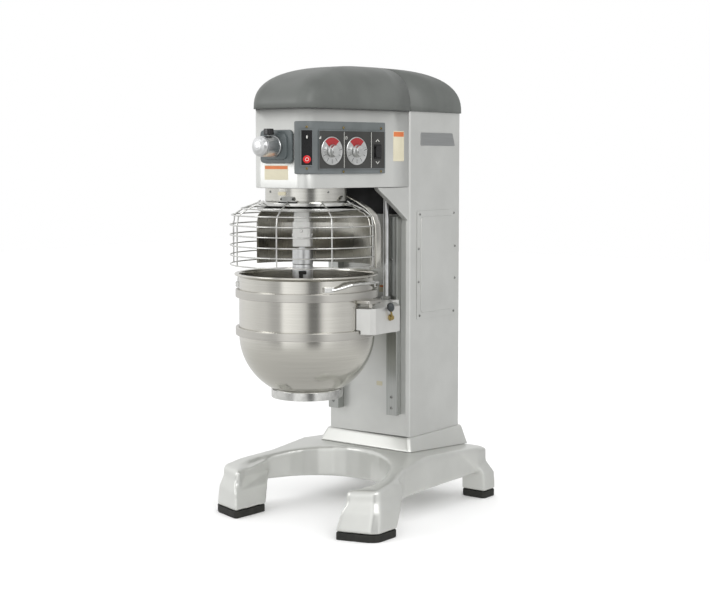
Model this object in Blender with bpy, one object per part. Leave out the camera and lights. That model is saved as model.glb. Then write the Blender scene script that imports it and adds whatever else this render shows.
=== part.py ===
"""Floor-standing planetary mixer with a power bowl lift, as separate parts.

Metres, +Z up. The front of the machine looks towards -Y and its control side towards +X. Plan
distances are taken from the front face of the column; one empty carries them all to the frame whose
origin is the middle of the machine's footprint, on the floor. Run with blender --background --python.
"""

import math

import bmesh
import bpy
from mathutils import Matrix, Vector

# Driving dimensions
COLUMN_FRONT_Y = 0.1302
COLUMN_HALF = 0.2073
COLUMN_DEPTH = 0.385
COLUMN_FOOT_Z = 0.289
SKIRT_Z = 1.3187
COVER_Z = 1.6235
CROWN_Z = 1.8045
SHEET = 0.003
GAP = 0.0004

# The bowl, and everything turned about its axis
BOWL_Y = -0.398
BOWL_RIM_Z = 0.987
BOWL_BODY_R = 0.266
BOWL_TURN_Z = 0.745
BOWL_DEPTH_BELOW = 0.25
BAND_R = 0.280
UPPER_BAND = (0.894, 0.924)
LOWER_BAND = (0.746, 0.7765)
FOOT_RING_R = 0.141
FOOT_RING_Z = 0.497

# Plan of the head: side line, toe-in, corner and front
HEAD_FRONT_Y = -0.57
SIDE_START = Vector((0.2125, -0.12))
SIDE_END = Vector((0.147, -0.50))
CORNER_R = 0.06

# Planetary drive
PLANET_OFFSET = 0.095
PLANET_AZ = math.radians(30)
RING_TEETH = 50
PINION_TEETH = 12
RING_PITCH_R = 0.125

# Controls, along the toed-in side of the head
CONTROL_Z = 1.4615
BEZEL_Z = (1.374, 1.573)
BEZEL_PROUD = 0.010
SPEED_Y = -0.450
TIMER_Y = -0.323
ROCKER_Y = -0.212
BEZEL_REAR_Y = -0.169
DIAL_PLATE_Y = (-0.515, -0.172)
DIAL_R = 0.054
FACET_DEG = -45.0
HUB_Z = 1.478

# Base and feet; the rubber pads reach a little below the casting's own zero
BASE_TOP_Z = 0.235
BASE_CREST_Y = -0.03
BASE_FALL = 0.126
BASE_REAR_FALL = 0.068
BASE_UNDER_Z = 0.100
BASE_EDGE_DROP = 0.010
PAD_LOW = -0.010
PAD_HIGH = 0.019

# Bowl lift
RAIL_X = (0.125, 0.171)
YOKE_Z = (0.763, 0.862)
LIFT_X = -0.095
HAUNCH_FRONT_Y = -0.195


def clear_scene():
    for obj in list(bpy.data.objects):
        bpy.data.objects.remove(obj)


def finish(name, colour, roughness, metallic):
    material = bpy.data.materials.new(name)
    material.use_nodes = True
    shader = material.node_tree.nodes["Principled BSDF"]
    shader.inputs["Base Color"].default_value = (*colour, 1.0)
    shader.inputs["Roughness"].default_value = roughness
    shader.inputs["Metallic"].default_value = metallic
    return material


clear_scene()
MACHINE = bpy.data.objects.new("machine", None)
bpy.context.collection.objects.link(MACHINE)
MACHINE.location = (0.0, COLUMN_FRONT_Y, -PAD_LOW)

SILVER_PAINT = finish("silver_paint", (0.62, 0.63, 0.62), 0.35, 0.4)
PALE_PAINT = finish("pale_paint", (0.72, 0.72, 0.70), 0.4, 0.0)
GREY_PLASTIC = finish("grey_plastic", (0.13, 0.14, 0.15), 0.45, 0.0)
BLACK_PLASTIC = finish("black_plastic", (0.02, 0.02, 0.02), 0.4, 0.0)
RED_PLASTIC = finish("red_plastic", (0.6, 0.02, 0.02), 0.35, 0.0)
STAINLESS = finish("stainless", (0.62, 0.61, 0.58), 0.28, 1.0)
STEEL = finish("steel", (0.5, 0.5, 0.5), 0.35, 1.0)
IRON = finish("iron", (0.18, 0.19, 0.2), 0.5, 0.6)
RUBBER = finish("rubber", (0.02, 0.02, 0.02), 0.8, 0.0)


def polar(radius, azimuth, z=0.0):
    """A point about the bowl's axis; azimuth 0 is the front and turns towards +X."""
    return Vector((radius * math.sin(azimuth), BOWL_Y - radius * math.cos(azimuth), z))


def add(name, bm, material, smooth=True):
    bmesh.ops.remove_doubles(bm, verts=bm.verts, dist=1e-6)
    bmesh.ops.recalc_face_normals(bm, faces=bm.faces)
    mesh = bpy.data.meshes.new(name)
    bm.to_mesh(mesh)
    bm.free()
    if smooth:
        mesh.shade_smooth()
        mesh.set_sharp_from_angle(angle=math.radians(35))
    mesh.materials.append(material)
    obj = bpy.data.objects.new(name, mesh)
    bpy.context.collection.objects.link(obj)
    obj.parent = MACHINE
    return obj


def loft(name, rings, material, joined=False, capped=True, smooth=True):
    """Skin through rings of equally many points; joined closes the last ring on the first."""
    bm = bmesh.new()
    rows = [[bm.verts.new(point) for point in ring] for ring in rings]
    pairs = list(zip(rows, rows[1:]))
    if joined:
        pairs.append((rows[-1], rows[0]))
    for low, high in pairs:
        for i in range(len(low)):
            j = (i + 1) % len(low)
            bm.faces.new((low[i], low[j], high[j], high[i]))
    if capped and not joined:
        bm.faces.new(rows[0])
        bm.faces.new(rows[-1])
    return add(name, bm, material, smooth)


def slab(name, outline, low, high, material):
    rings = [[Vector((p[0], p[1], z)) for p in outline] for z in (low, high)]
    return loft(name, rings, material)


def box(name, low, high, material, bevel=0.0):
    bm = bmesh.new()
    size = Vector(high) - Vector(low)
    middle = (Vector(high) + Vector(low)) / 2
    matrix = Matrix.Translation(middle) @ Matrix.Diagonal((*size, 1.0))
    bmesh.ops.create_cube(bm, size=1.0, matrix=matrix)
    if bevel:
        bmesh.ops.bevel(bm, geom=bm.edges[:], offset=bevel, segments=1, affect="EDGES", profile=0.5)
    return add(name, bm, material)


def turned(name, profile, material, centre=(0.0, BOWL_Y), steps=32, matrix=None):
    """A closed (radius, height) profile turned about +Z at centre, or about the matrix's own axis."""
    place = matrix or Matrix.Translation((centre[0], centre[1], 0.0))
    bm = bmesh.new()
    rings = []
    for step in range(steps):
        angle = math.tau * step / steps
        direction = Vector((math.cos(angle), math.sin(angle), 0.0))
        rings.append([bm.verts.new(place @ (direction * r + Vector((0, 0, z)))) for r, z in profile])
    for step in range(steps):
        here = rings[step]
        after = rings[(step + 1) % steps]
        for i in range(len(profile)):
            j = (i + 1) % len(profile)
            if profile[i][0] == 0 and profile[j][0] == 0:
                continue
            corners = [here[i], after[i], after[j], here[j]]
            if profile[i][0] == 0:
                corners.remove(after[i])
            if profile[j][0] == 0:
                corners.remove(after[j])
            bm.faces.new(corners)
    return add(name, bm, material)


def drum(name, radius, low, high, material, steps=24, matrix=None, centre=(0.0, BOWL_Y)):
    profile = [(0.0, low), (radius, low), (radius, high), (0.0, high)]
    return turned(name, profile, material, centre, steps, matrix)


def swept(name, profile, start, end, steps, material):
    """A closed (radius, height) profile carried about the bowl's axis between two azimuths."""
    angles = [start + (end - start) * i / steps for i in range(steps + 1)]
    rings = [[polar(r, angle, z) for r, z in profile] for angle in angles]
    return loft(name, rings, material)


def rod(name, points, radius, material, sides=8):
    """A round bar along points, with flat ends."""
    rings = []
    for i, point in enumerate(points):
        ahead = points[min(i + 1, len(points) - 1)]
        behind = points[max(i - 1, 0)]
        along = (ahead - behind).normalized()
        across = along.orthogonal().normalized() if i == 0 else across - along * across.dot(along)
        across.normalize()
        other = along.cross(across)
        turn = [math.tau * k / sides for k in range(sides)]
        rings.append([point + (across * math.cos(t) + other * math.sin(t)) * radius for t in turn])
    return loft(name, rings, material)


def combine(obj, other, operation):
    modifier = obj.modifiers.new(other.name, "BOOLEAN")
    modifier.operation = operation
    modifier.solver = "EXACT"
    modifier.object = other
    other.hide_render = True
    other.display_type = "WIRE"
    return obj


def cut(obj, cutter):
    return combine(obj, cutter, "DIFFERENCE")


def weld(obj, other):
    return combine(obj, other, "UNION")


def mirrored(points):
    """A right-hand half outline, from back to front, closed with its mirror image."""
    return list(points) + [Vector((-p[0], p[1])) for p in reversed(points)]


def arc(centre, radius, start, end, steps):
    angles = [math.radians(start + (end - start) * i / steps) for i in range(steps + 1)]
    return [Vector((centre[0] + radius * math.cos(a), centre[1] + radius * math.sin(a))) for a in angles]


def frame_at(origin, outward):
    """A matrix whose +Z is the outward direction and whose +Y is up."""
    z_axis = Vector(outward).normalized()
    x_axis = Vector((0, 0, 1)).cross(z_axis).normalized()
    y_axis = z_axis.cross(x_axis)
    return Matrix.Translation(origin) @ Matrix((x_axis, y_axis, z_axis)).transposed().to_4x4()


def plate(name, matrix, width, height, near, far, material, bevel=0.0):
    """A flat plate in a frame's plane, from near to far along its outward axis."""
    obj = box(name, (-width / 2, -height / 2, near), (width / 2, height / 2, far), material, bevel)
    obj.data.transform(matrix)
    return obj


# Plan of the head and the frames of its control faces

SIDE_ALONG = (SIDE_END - SIDE_START).normalized()
SIDE_OUT = Vector((-SIDE_ALONG.y, SIDE_ALONG.x))
SIDE_TURN = math.degrees(math.atan2(SIDE_OUT.y, SIDE_OUT.x))
CORNER_Y = HEAD_FRONT_Y + CORNER_R
CORNER_X = SIDE_START.x + (CORNER_Y - SIDE_START.y) * SIDE_ALONG.x / SIDE_ALONG.y - CORNER_R / SIDE_OUT.x


def head_half(offset=0.0, corner_steps=5):
    """The right half of the head's outline, moved out by offset, from the column to the front."""
    shift = SIDE_OUT * offset
    start = Vector((COLUMN_HALF + offset, -GAP))
    corner = arc((CORNER_X, CORNER_Y), CORNER_R + offset, SIDE_TURN, -90, corner_steps)
    return [start, SIDE_START + shift] + corner


def side_point(y, offset):
    """A point on the toed-in side of the head at distance y from the column, offset outwards."""
    along = (y - SIDE_START.y) / SIDE_ALONG.y
    return SIDE_START + SIDE_ALONG * along + SIDE_OUT * offset


def side_frame(y, z):
    point = side_point(y, 0.0)
    return frame_at((point.x, point.y, z), (SIDE_OUT.x, SIDE_OUT.y, 0))


def facet_frame(z):
    turn = math.radians(FACET_DEG)
    outward = Vector((math.cos(turn), math.sin(turn), 0))
    origin = Vector((CORNER_X, CORNER_Y, z)) + outward * CORNER_R
    return frame_at(origin, outward)


# Base, feet and column

def base_top(y):
    """Height of the casting's top, which falls from a crest towards all four feet."""
    return BASE_TOP_Z - BASE_FALL * max(0.0, BASE_CREST_Y - y) - BASE_REAR_FALL * max(0.0, y - BASE_CREST_Y)


FRONT_FOOT = [(0.416, -0.360), (0.242, -0.368), (0.252, -0.544), (0.388, -0.502), (0.414, -0.476)]
FRONT_WAIST = [(0.402, -0.348), (0.262, -0.350), (0.268, -0.528), (0.382, -0.488), (0.401, -0.464)]
FRONT_SHOULDER = [(0.378, -0.300), (0.296, -0.300), (0.288, -0.506), (0.360, -0.472), (0.376, -0.450)]
REAR_FOOT = [(0.357, 0.440), (0.242, 0.440), (0.242, 0.350), (0.357, 0.350)]
REAR_WAIST = [(0.345, 0.434), (0.244, 0.434), (0.244, 0.345), (0.345, 0.345)]
REAR_SHOULDER = [(0.304, 0.407), (0.250, 0.407), (0.250, 0.322), (0.304, 0.322)]
SHOULDER_DROP = 0.016


def base_casting():
    """Two side beams joined by an arch under the column, with a foot at each end."""
    arch = [(p.x, p.y) for p in arc((0.0, -0.36), 0.305, -27, 90, 10)][:-1]
    half = [(0.232, 0.400), (0.240, 0.412), (0.306, 0.412), (0.318, 0.34)]
    half += [(0.330, 0.20), (0.332, -0.05), (0.346, -0.22), (0.372, -0.36), (0.376, -0.450)]
    half += [(0.362, -0.470), (0.286, -0.504)]
    right = [Vector(p) for p in half + arch]
    outline = [Vector((0.0, 0.400))] + right + [Vector((0.0, -0.055))]
    outline += [Vector((-p.x, p.y)) for p in reversed(right)]
    bm = bmesh.new()
    face = bm.faces.new([bm.verts.new((p.x, p.y, BASE_UNDER_Z)) for p in outline])
    top = bmesh.ops.extrude_face_region(bm, geom=[face])["geom"]
    for vert in [item for item in top if isinstance(item, bmesh.types.BMVert)]:
        vert.co.z = BASE_TOP_Z - BASE_EDGE_DROP
    crown = [item for item in top if isinstance(item, bmesh.types.BMFace)]
    bmesh.ops.inset_region(bm, faces=crown, thickness=0.010, use_even_offset=True)
    for face in crown:
        for vert in face.verts:
            vert.co.z += BASE_EDGE_DROP
    everything = bm.verts[:] + bm.edges[:] + bm.faces[:]
    bmesh.ops.bisect_plane(bm, geom=everything, plane_co=(0, BASE_CREST_Y, 0), plane_no=(0, 1, 0))
    for vert in bm.verts:
        if vert.co.z > BASE_UNDER_Z + 0.01:
            vert.co.z += base_top(vert.co.y) - BASE_TOP_Z
    base = add("base_casting", bm, SILVER_PAINT)
    front = ((FRONT_FOOT, PAD_HIGH + GAP), (FRONT_WAIST, 0.095), (FRONT_SHOULDER, 0.140))
    rear = ((REAR_FOOT, PAD_HIGH + GAP), (REAR_WAIST, 0.095), (REAR_SHOULDER, 0.150))
    for side in (1, -1):
        weld(base, leg(f"front_leg_{side}", front, side))
        weld(base, leg(f"rear_leg_{side}", rear, side))
    return base


def leg(name, levels, side):
    """A tapered foot through stated levels, ending in a shoulder just under the casting's top."""
    rings = [[Vector((side * x, y, z)) for x, y in outline] for outline, z in levels]
    rings.append([Vector((side * x, y, base_top(y) - SHOULDER_DROP)) for x, y in levels[-1][0]])
    return loft(name, rings, SILVER_PAINT)


def foot_pads():
    for side, word in ((1, "right"), (-1, "left")):
        for outline, place in ((FRONT_FOOT, "front"), (REAR_FOOT, "rear")):
            slab(f"foot_pad_{place}_{word}", [(side * x, y) for x, y in outline], PAD_LOW, PAD_HIGH, RUBBER)


def column_ring(inset, z, lip=0.0):
    """One level of the column's plan, with bevelled corners, moved in by inset or out by lip."""
    x = COLUMN_HALF - inset + lip
    front = inset - lip
    back = COLUMN_DEPTH - inset + lip
    c = 0.012
    right = [(x - c, back), (x, back - c), (x, front + c), (x - c, front)]
    left = [(-px, py) for px, py in reversed(right)]
    return [Vector((px, py, z)) for px, py in right + left]


def pedestal_collar():
    """A skirt round the foot of the column, cut to the slope of the base."""
    high = COLUMN_FOOT_Z - GAP
    steps = ((0.030, 0.0), (0.027, 0.010))
    outer = []
    for lip, rise in steps:
        outer.append([Vector((p.x, p.y, base_top(p.y) + GAP + rise)) for p in column_ring(0.0, 0.0, lip)])
    upper = [column_ring(0.0, high - 0.008, 0.011), column_ring(0.0, high, 0.007), column_ring(0.02, high)]
    inner = [Vector((p.x, p.y, base_top(p.y) + GAP)) for p in column_ring(0.02, 0.0)]
    return loft("pedestal_collar", outer + upper + [inner], SILVER_PAINT, joined=True)


def column_shell():
    top = COVER_Z - GAP
    levels = [(0.0, COLUMN_FOOT_Z), (0.0, top), (SHEET, top), (SHEET, COLUMN_FOOT_Z)]
    shell = loft("column_shell", [column_ring(i, z) for i, z in levels], SILVER_PAINT, joined=True)
    hatch = box("hatch_opening", (0.19, 0.10, 0.83), (0.23, 0.30, 1.16), IRON)
    drive = box("drive_opening", (-0.16, -0.01, 1.345), (0.16, 0.02, 1.56), IRON)
    near, far = LIFT_X - 0.020, LIFT_X + 0.020
    slot = box("lift_slot", (near, -0.01, 0.515), (far, 0.02, 0.93), IRON)
    for cutter in (hatch, drive, slot):
        cut(shell, cutter)
    return shell


def access_panel():
    x = COLUMN_HALF + GAP
    low = box("access_panel", (x, 0.058, 0.772), (x + 0.002, 0.345, 1.219), SILVER_PAINT)
    raised = box("panel_field", (x + 0.001, 0.085, 0.80), (x + 0.006, 0.318, 1.19), SILVER_PAINT)
    return weld(low, raised)


def guide_rails():
    for side, word in ((1, "right"), (-1, "left")):
        near, far = RAIL_X
        back, wide = -GAP, 0.006
        outline = [(near, back), (far, back), (far + wide, -0.028), (far + wide, -0.040)]
        outline += [(near, -0.040), (near, -0.028)]
        slab(f"guide_rail_{word}", [(side * x, y) for x, y in outline], 0.383, SKIRT_Z - 0.12, STEEL)


# Head: skirt, floor, haunches and covers

def head_casing():
    outer = mirrored(head_half())
    inner = mirrored(head_half(-SHEET))
    path = outer + list(reversed(inner))
    casing = slab("head_casing", path, SKIRT_Z, COVER_Z - GAP, SILVER_PAINT)
    hub = frame_at((0.0, HEAD_FRONT_Y, HUB_Z), (0, -1, 0))
    return cut(casing, drum("casing_bore", 0.022, -0.02, 0.02, STEEL, 20, hub))


def head_floor():
    outline = mirrored(head_half(-SHEET - GAP))
    floor = slab("head_floor", outline, SKIRT_Z + 0.004, SKIRT_Z + 0.008, IRON)
    cut(floor, drum("neck_opening", 0.1535, 1.30, 1.35, IRON, 32))
    cut(floor, drum("rod_opening", 0.014, 1.30, 1.35, IRON, centre=LIFT_ROD, steps=16))
    return floor


def haunches():
    """The two triangular cheeks that brace the head against the column, toed in with the head's sides."""
    top = SKIRT_Z - GAP
    triangle = [(-GAP, top), (SIDE_START.y, top), (HAUNCH_FRONT_Y, top)]
    triangle += [(HAUNCH_FRONT_Y + 0.008, top - 0.012), (SIDE_START.y, 1.261), (-GAP, 1.180)]
    for side, word in ((1, "right"), (-1, "left")):
        rings = []
        for inset in (0.001, 0.026):
            reach = [min(COLUMN_HALF, side_point(y, 0.0).x) - inset for y, _ in triangle]
            rings.append([Vector((side * x, y, z)) for x, (y, z) in zip(reach, triangle)])
        loft(f"haunch_{word}", rings, SILVER_PAINT)


DOME_POWER = 2.7
DOME_SCALES = (1.0, 0.985, 0.95, 0.89, 0.78, 0.6, 0.3)


def dome(name, outline, seam_y):
    """A thin cover over an outline, shrinking towards the seam's middle along a superellipse."""
    bm = bmesh.new()
    rise = CROWN_Z - COVER_Z
    rows = []
    for scale in DOME_SCALES:
        height = (1 - scale**DOME_POWER) ** (1 / DOME_POWER)
        z = COVER_Z + GAP + rise * height
        rows.append([bm.verts.new((p.x * scale, seam_y + (p.y - seam_y) * scale, z)) for p in outline])
    for low, high in zip(rows, rows[1:]):
        for i in range(len(low) - 1):
            bm.faces.new((low[i], low[i + 1], high[i + 1], high[i]))
    crown = bm.verts.new((0.0, seam_y, CROWN_Z))
    for i in range(len(outline) - 1):
        bm.faces.new((rows[-1][i], rows[-1][i + 1], crown))
    bmesh.ops.recalc_face_normals(bm, faces=bm.faces)
    if max(bm.faces, key=lambda f: f.calc_center_median().z).normal.z < 0:
        bmesh.ops.reverse_faces(bm, faces=bm.faces)
    bmesh.ops.solidify(bm, geom=bm.faces, thickness=0.004)
    return add(name, bm, GREY_PLASTIC)


def top_covers():
    front = mirrored(head_half(0.008))
    for point in (front[0], front[-1]):
        point.y = -0.0006
    dome("top_cover_front", front, -0.0006)
    x = COLUMN_HALF + 0.008
    back = COLUMN_DEPTH + 0.009
    c = 0.022
    right = [Vector((x, 0.0006)), Vector((x, 0.2)), Vector((x, back - c))]
    right += [Vector((x - 0.3 * c, back - 0.3 * c)), Vector((x - c, back)), Vector((0.08, back))]
    dome("top_cover_rear", mirrored(right), 0.0006)


# Attachment hub on the front of the head

def attachment_hub():
    front = frame_at((0.0, HEAD_FRONT_Y, HUB_Z), (0, -1, 0))
    hub_plate = plate("hub_plate", front, 0.158, 0.126, GAP, 0.012, GREY_PLASTIC, 0.003)
    weld(hub_plate, plate("hub_step", front, 0.118, 0.100, 0.010, 0.020, GREY_PLASTIC, 0.002))
    cut(hub_plate, drum("hub_bore", 0.020, -0.01, 0.03, STEEL, matrix=front, steps=20))
    barrel = [(0.0155, 0.0204), (0.039, 0.0204), (0.039, 0.096), (0.0155, 0.096)]
    barrel_body = turned("hub_barrel", barrel, STEEL, matrix=front, steps=28)
    cut(barrel_body, drum("thumb_hole", 0.0052, 0.010, 0.06, STEEL, 12, THUMB_FRAME))
    cap = [(0.0, 0.0964), (0.0385, 0.0964), (0.0385, 0.104), (0.030, 0.113), (0.016, 0.118), (0.0, 0.119)]
    turned("hub_cap", cap, STEEL, matrix=front, steps=28)
    stem = drum("hub_thumb_screw", 0.0048, 0.0175, 0.045, STEEL, 12, THUMB_FRAME)
    knob = drum("thumb_head", 0.021, 0.043, 0.067, BLACK_PLASTIC, 5, THUMB_FRAME)
    weld(stem, knob)
    shaft = [(0.0, -0.112), (0.012, -0.112), (0.032, -0.098), (0.032, -0.088), (0.0145, -0.086)]
    shaft += [(0.0145, 0.090), (0.0, 0.090)]
    turned("hub_drive_shaft", shaft, STEEL, matrix=front, steps=20)


THUMB_FRAME = Matrix.Translation((0.0, HEAD_FRONT_Y - 0.052, HUB_Z))

# Controls


def controls():
    path = [side_point(y, BEZEL_PROUD) for y in (BEZEL_REAR_Y, -0.30)] + head_half(BEZEL_PROUD)[2:-1]
    back = [side_point(y, GAP) for y in (BEZEL_REAR_Y, -0.30)] + head_half(GAP)[2:-1]
    bezel = slab("control_bezel", path + list(reversed(back)), *BEZEL_Z, GREY_PLASTIC)
    near = BEZEL_PROUD + GAP
    ahead, behind = DIAL_PLATE_Y
    middle = side_frame((ahead + behind) / 2, CONTROL_Z + 0.004)
    width = (behind - ahead) / SIDE_OUT.x
    dial_plate = plate("dial_plate", middle, width, 0.150, near, near + 0.0025, BLACK_PLASTIC)
    face = near + 0.0025 + GAP
    for name, y in (("speed", SPEED_Y), ("timer", TIMER_Y)):
        at = side_frame(y, CONTROL_Z)
        drum(f"{name}_dial", DIAL_R, face, face + 0.002, STEEL, 32, at)
        knob = [(0.0, face + 0.0024), (0.031, face + 0.0024), (0.030, face + 0.009)]
        knob += [(0.024, face + 0.011), (0.022, face + 0.027), (0.0, face + 0.028)]
        turned(f"{name}_knob", knob, STEEL, matrix=at, steps=24)
    rocker = side_frame(ROCKER_Y, CONTROL_Z - 0.002)
    plate("bowl_rocker", rocker, 0.026, 0.044, 0.006, face + 0.007, BLACK_PLASTIC, 0.002)
    for piece in (bezel, dial_plate):
        cut(piece, plate(f"rocker_window_{piece.name}", rocker, 0.030, 0.050, -0.01, 0.03, RUBBER))
    facet = facet_frame(CONTROL_Z + 0.0115)
    panel = plate("start_stop_panel", facet, 0.050, 0.140, near, near + 0.003, BLACK_PLASTIC)
    for name, z, size, colour in (("start", 0.040, 0.008, PALE_PAINT), ("stop", -0.0435, 0.015, RED_PLASTIC)):
        place = facet @ Matrix.Translation((0, z, 0))
        for piece in (bezel, panel):
            cut(piece, drum(f"{name}_hole_{piece.name}", size + GAP, -0.01, 0.03, RUBBER, 20, place))
        drum(f"{name}_button", size, near + 0.0005, near + 0.0075, colour, 20, place)


# Neck, planetary head and drive

def gear_outline(teeth, root, tip, root_half, tip_half, phase):
    """Straight-sided teeth; the half widths are at the root and at the tip."""
    points = []
    for tooth in range(teeth):
        middle = phase + math.tau * tooth / teeth
        for radius, half in ((root, -root_half), (tip, -tip_half), (tip, tip_half), (root, root_half)):
            angle = middle + half / radius
            points.append((radius * math.cos(angle), radius * math.sin(angle)))
    return points


PLANET_DIRECTION = PLANET_AZ - math.pi / 2
PLANET = (PLANET_OFFSET * math.sin(PLANET_AZ), BOWL_Y - PLANET_OFFSET * math.cos(PLANET_AZ))
LIFT_ROD = (0.140, -0.062)


def neck():
    profile = [(0.1495, 1.268), (0.162, 1.268), (0.162, SKIRT_Z - 0.001), (0.1525, SKIRT_Z - 0.001)]
    profile += [(0.1525, 1.372), (0.022, 1.372), (0.022, 1.358), (0.1495, 1.358)]
    turned("neck_housing", profile, SILVER_PAINT)
    track = [(0.165, 1.2505), (0.189, 1.2505), (0.189, 1.2625), (0.172, 1.2665), (0.156, 1.2665)]
    turned("guard_track", track, SILVER_PAINT)


def ring_gear():
    phase = PLANET_DIRECTION + math.pi / RING_TEETH
    teeth = gear_outline(RING_TEETH, 0.1285, 0.1225, 0.0036, 0.0019, phase)
    inner = [Vector((x, BOWL_Y + y, 0)) for x, y in teeth]
    outer = []
    for x, y in teeth:
        spread = 0.1484 / math.hypot(x, y)
        outer.append(Vector((x * spread, BOWL_Y + y * spread, 0)))
    levels = [(inner, 1.300), (inner, 1.325), (outer, 1.325), (outer, 1.300)]
    rings = [[Vector((p.x, p.y, z)) for p in ring] for ring, z in levels]
    return loft("ring_gear", rings, STEEL, joined=True)


def planetary():
    flange = [(0.0, 1.228), (0.180, 1.228), (0.194, 1.231), (0.194, 1.242), (0.160, 1.246), (0.146, 1.264)]
    flange += [(0.146, 1.292), (0.0, 1.292)]
    head = turned("planetary_head", flange, STEEL)
    spin = Matrix.Translation((*PLANET, 0)) @ Matrix.Rotation(PLANET_AZ, 4, "Z")
    wide = box("agitator_block", (-0.036, -0.032, 1.093), (0.036, 0.036, 1.190), PALE_PAINT, 0.004)
    narrow = box("block_top", (-0.031, -0.029, 1.185), (0.031, 0.031, 1.2285), PALE_PAINT)
    for piece in (wide, narrow):
        piece.data.transform(spin)
        weld(head, piece)
    cut(head, drum("spindle_bore", 0.0148, 1.05, 1.35, STEEL, 20, centre=PLANET))
    cut(head, drum("shaft_bore", 0.0188, 1.262, 1.35, STEEL, 20))
    shaft = [(0.0, 1.2625), (0.0184, 1.2625), (0.0184, 1.405), (0.030, 1.4055), (0.036, 1.424)]
    shaft += [(0.030, 1.430), (0.0, 1.430)]
    turned("planetary_shaft", shaft, STEEL, steps=20)
    phase = PLANET_DIRECTION
    teeth = gear_outline(PINION_TEETH, 0.0262, 0.0318, 0.0033, 0.0013, phase)
    outline = [Vector((PLANET[0] + x, PLANET[1] + y)) for x, y in teeth]
    pinion = slab("planet_pinion", outline, 1.3015, 1.3235, STEEL)
    cut(pinion, drum("pinion_bore", 0.0148, 1.29, 1.34, STEEL, 20, centre=PLANET))
    spindle = [(0.0, 0.962), (0.034, 0.962), (0.040, 0.968), (0.040, 1.086), (0.0144, 1.0865)]
    spindle += [(0.0144, 1.333), (0.0, 1.333)]
    shaft = turned("agitator_shaft", spindle, STEEL, centre=PLANET, steps=24)
    slot = box("bayonet_slot", (-0.012, -0.06, 0.95), (0.012, 0.06, 0.985), STEEL)
    slot.data.transform(spin)
    cut(shaft, slot)


def pulley(name, radius, bore, centre):
    rim = 0.006
    profile = [(bore, 1.376), (radius + rim, 1.376), (radius + rim, 1.379), (radius, 1.380)]
    profile += [(radius, 1.398), (radius + rim, 1.399), (radius + rim, 1.402), (bore, 1.402)]
    return turned(name, profile, STEEL, centre=centre, steps=24)


DRIVEN_R = 0.085
MOTOR_PULLEY_R = 0.034
MOTOR = (0.0, 0.17)


def belt_outline(offset):
    """The tangent path round the two pulleys, moved out by offset."""
    span = MOTOR[1] - BOWL_Y
    lean = math.degrees(math.asin((DRIVEN_R - MOTOR_PULLEY_R) / span))
    front = arc((0.0, BOWL_Y), DRIVEN_R + offset, 180 - lean, 360 + lean, 12)
    back = arc(MOTOR, MOTOR_PULLEY_R + offset, lean, 180 - lean, 8)
    return front + back


def drive():
    pulley("driven_pulley", DRIVEN_R, 0.0188, (0.0, BOWL_Y))
    pulley("motor_pulley", MOTOR_PULLEY_R, 0.0124, MOTOR)
    inner, outer = belt_outline(0.0018), belt_outline(0.0062)
    levels = [(inner, 1.382), (inner, 1.396), (outer, 1.396), (outer, 1.382)]
    rings = [[Vector((p.x, p.y, z)) for p in ring] for ring, z in levels]
    loft("drive_belt", rings, RUBBER, joined=True)
    shell = [(0.0, 1.09), (0.070, 1.09), (0.085, 1.10), (0.085, 1.33), (0.070, 1.345), (0.0, 1.345)]
    motor = turned("drive_motor", shell, IRON, centre=MOTOR, steps=24)
    weld(motor, box("motor_bracket", (-0.10, 0.22, 1.16), (0.10, 0.3815, 1.28), IRON))
    cut(motor, drum("armature_bore", 0.0128, 1.315, 1.36, IRON, 16, centre=MOTOR))
    drum("motor_shaft", 0.012, 1.3155, 1.410, STEEL, 16, centre=MOTOR)


# Bowl lift

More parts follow.
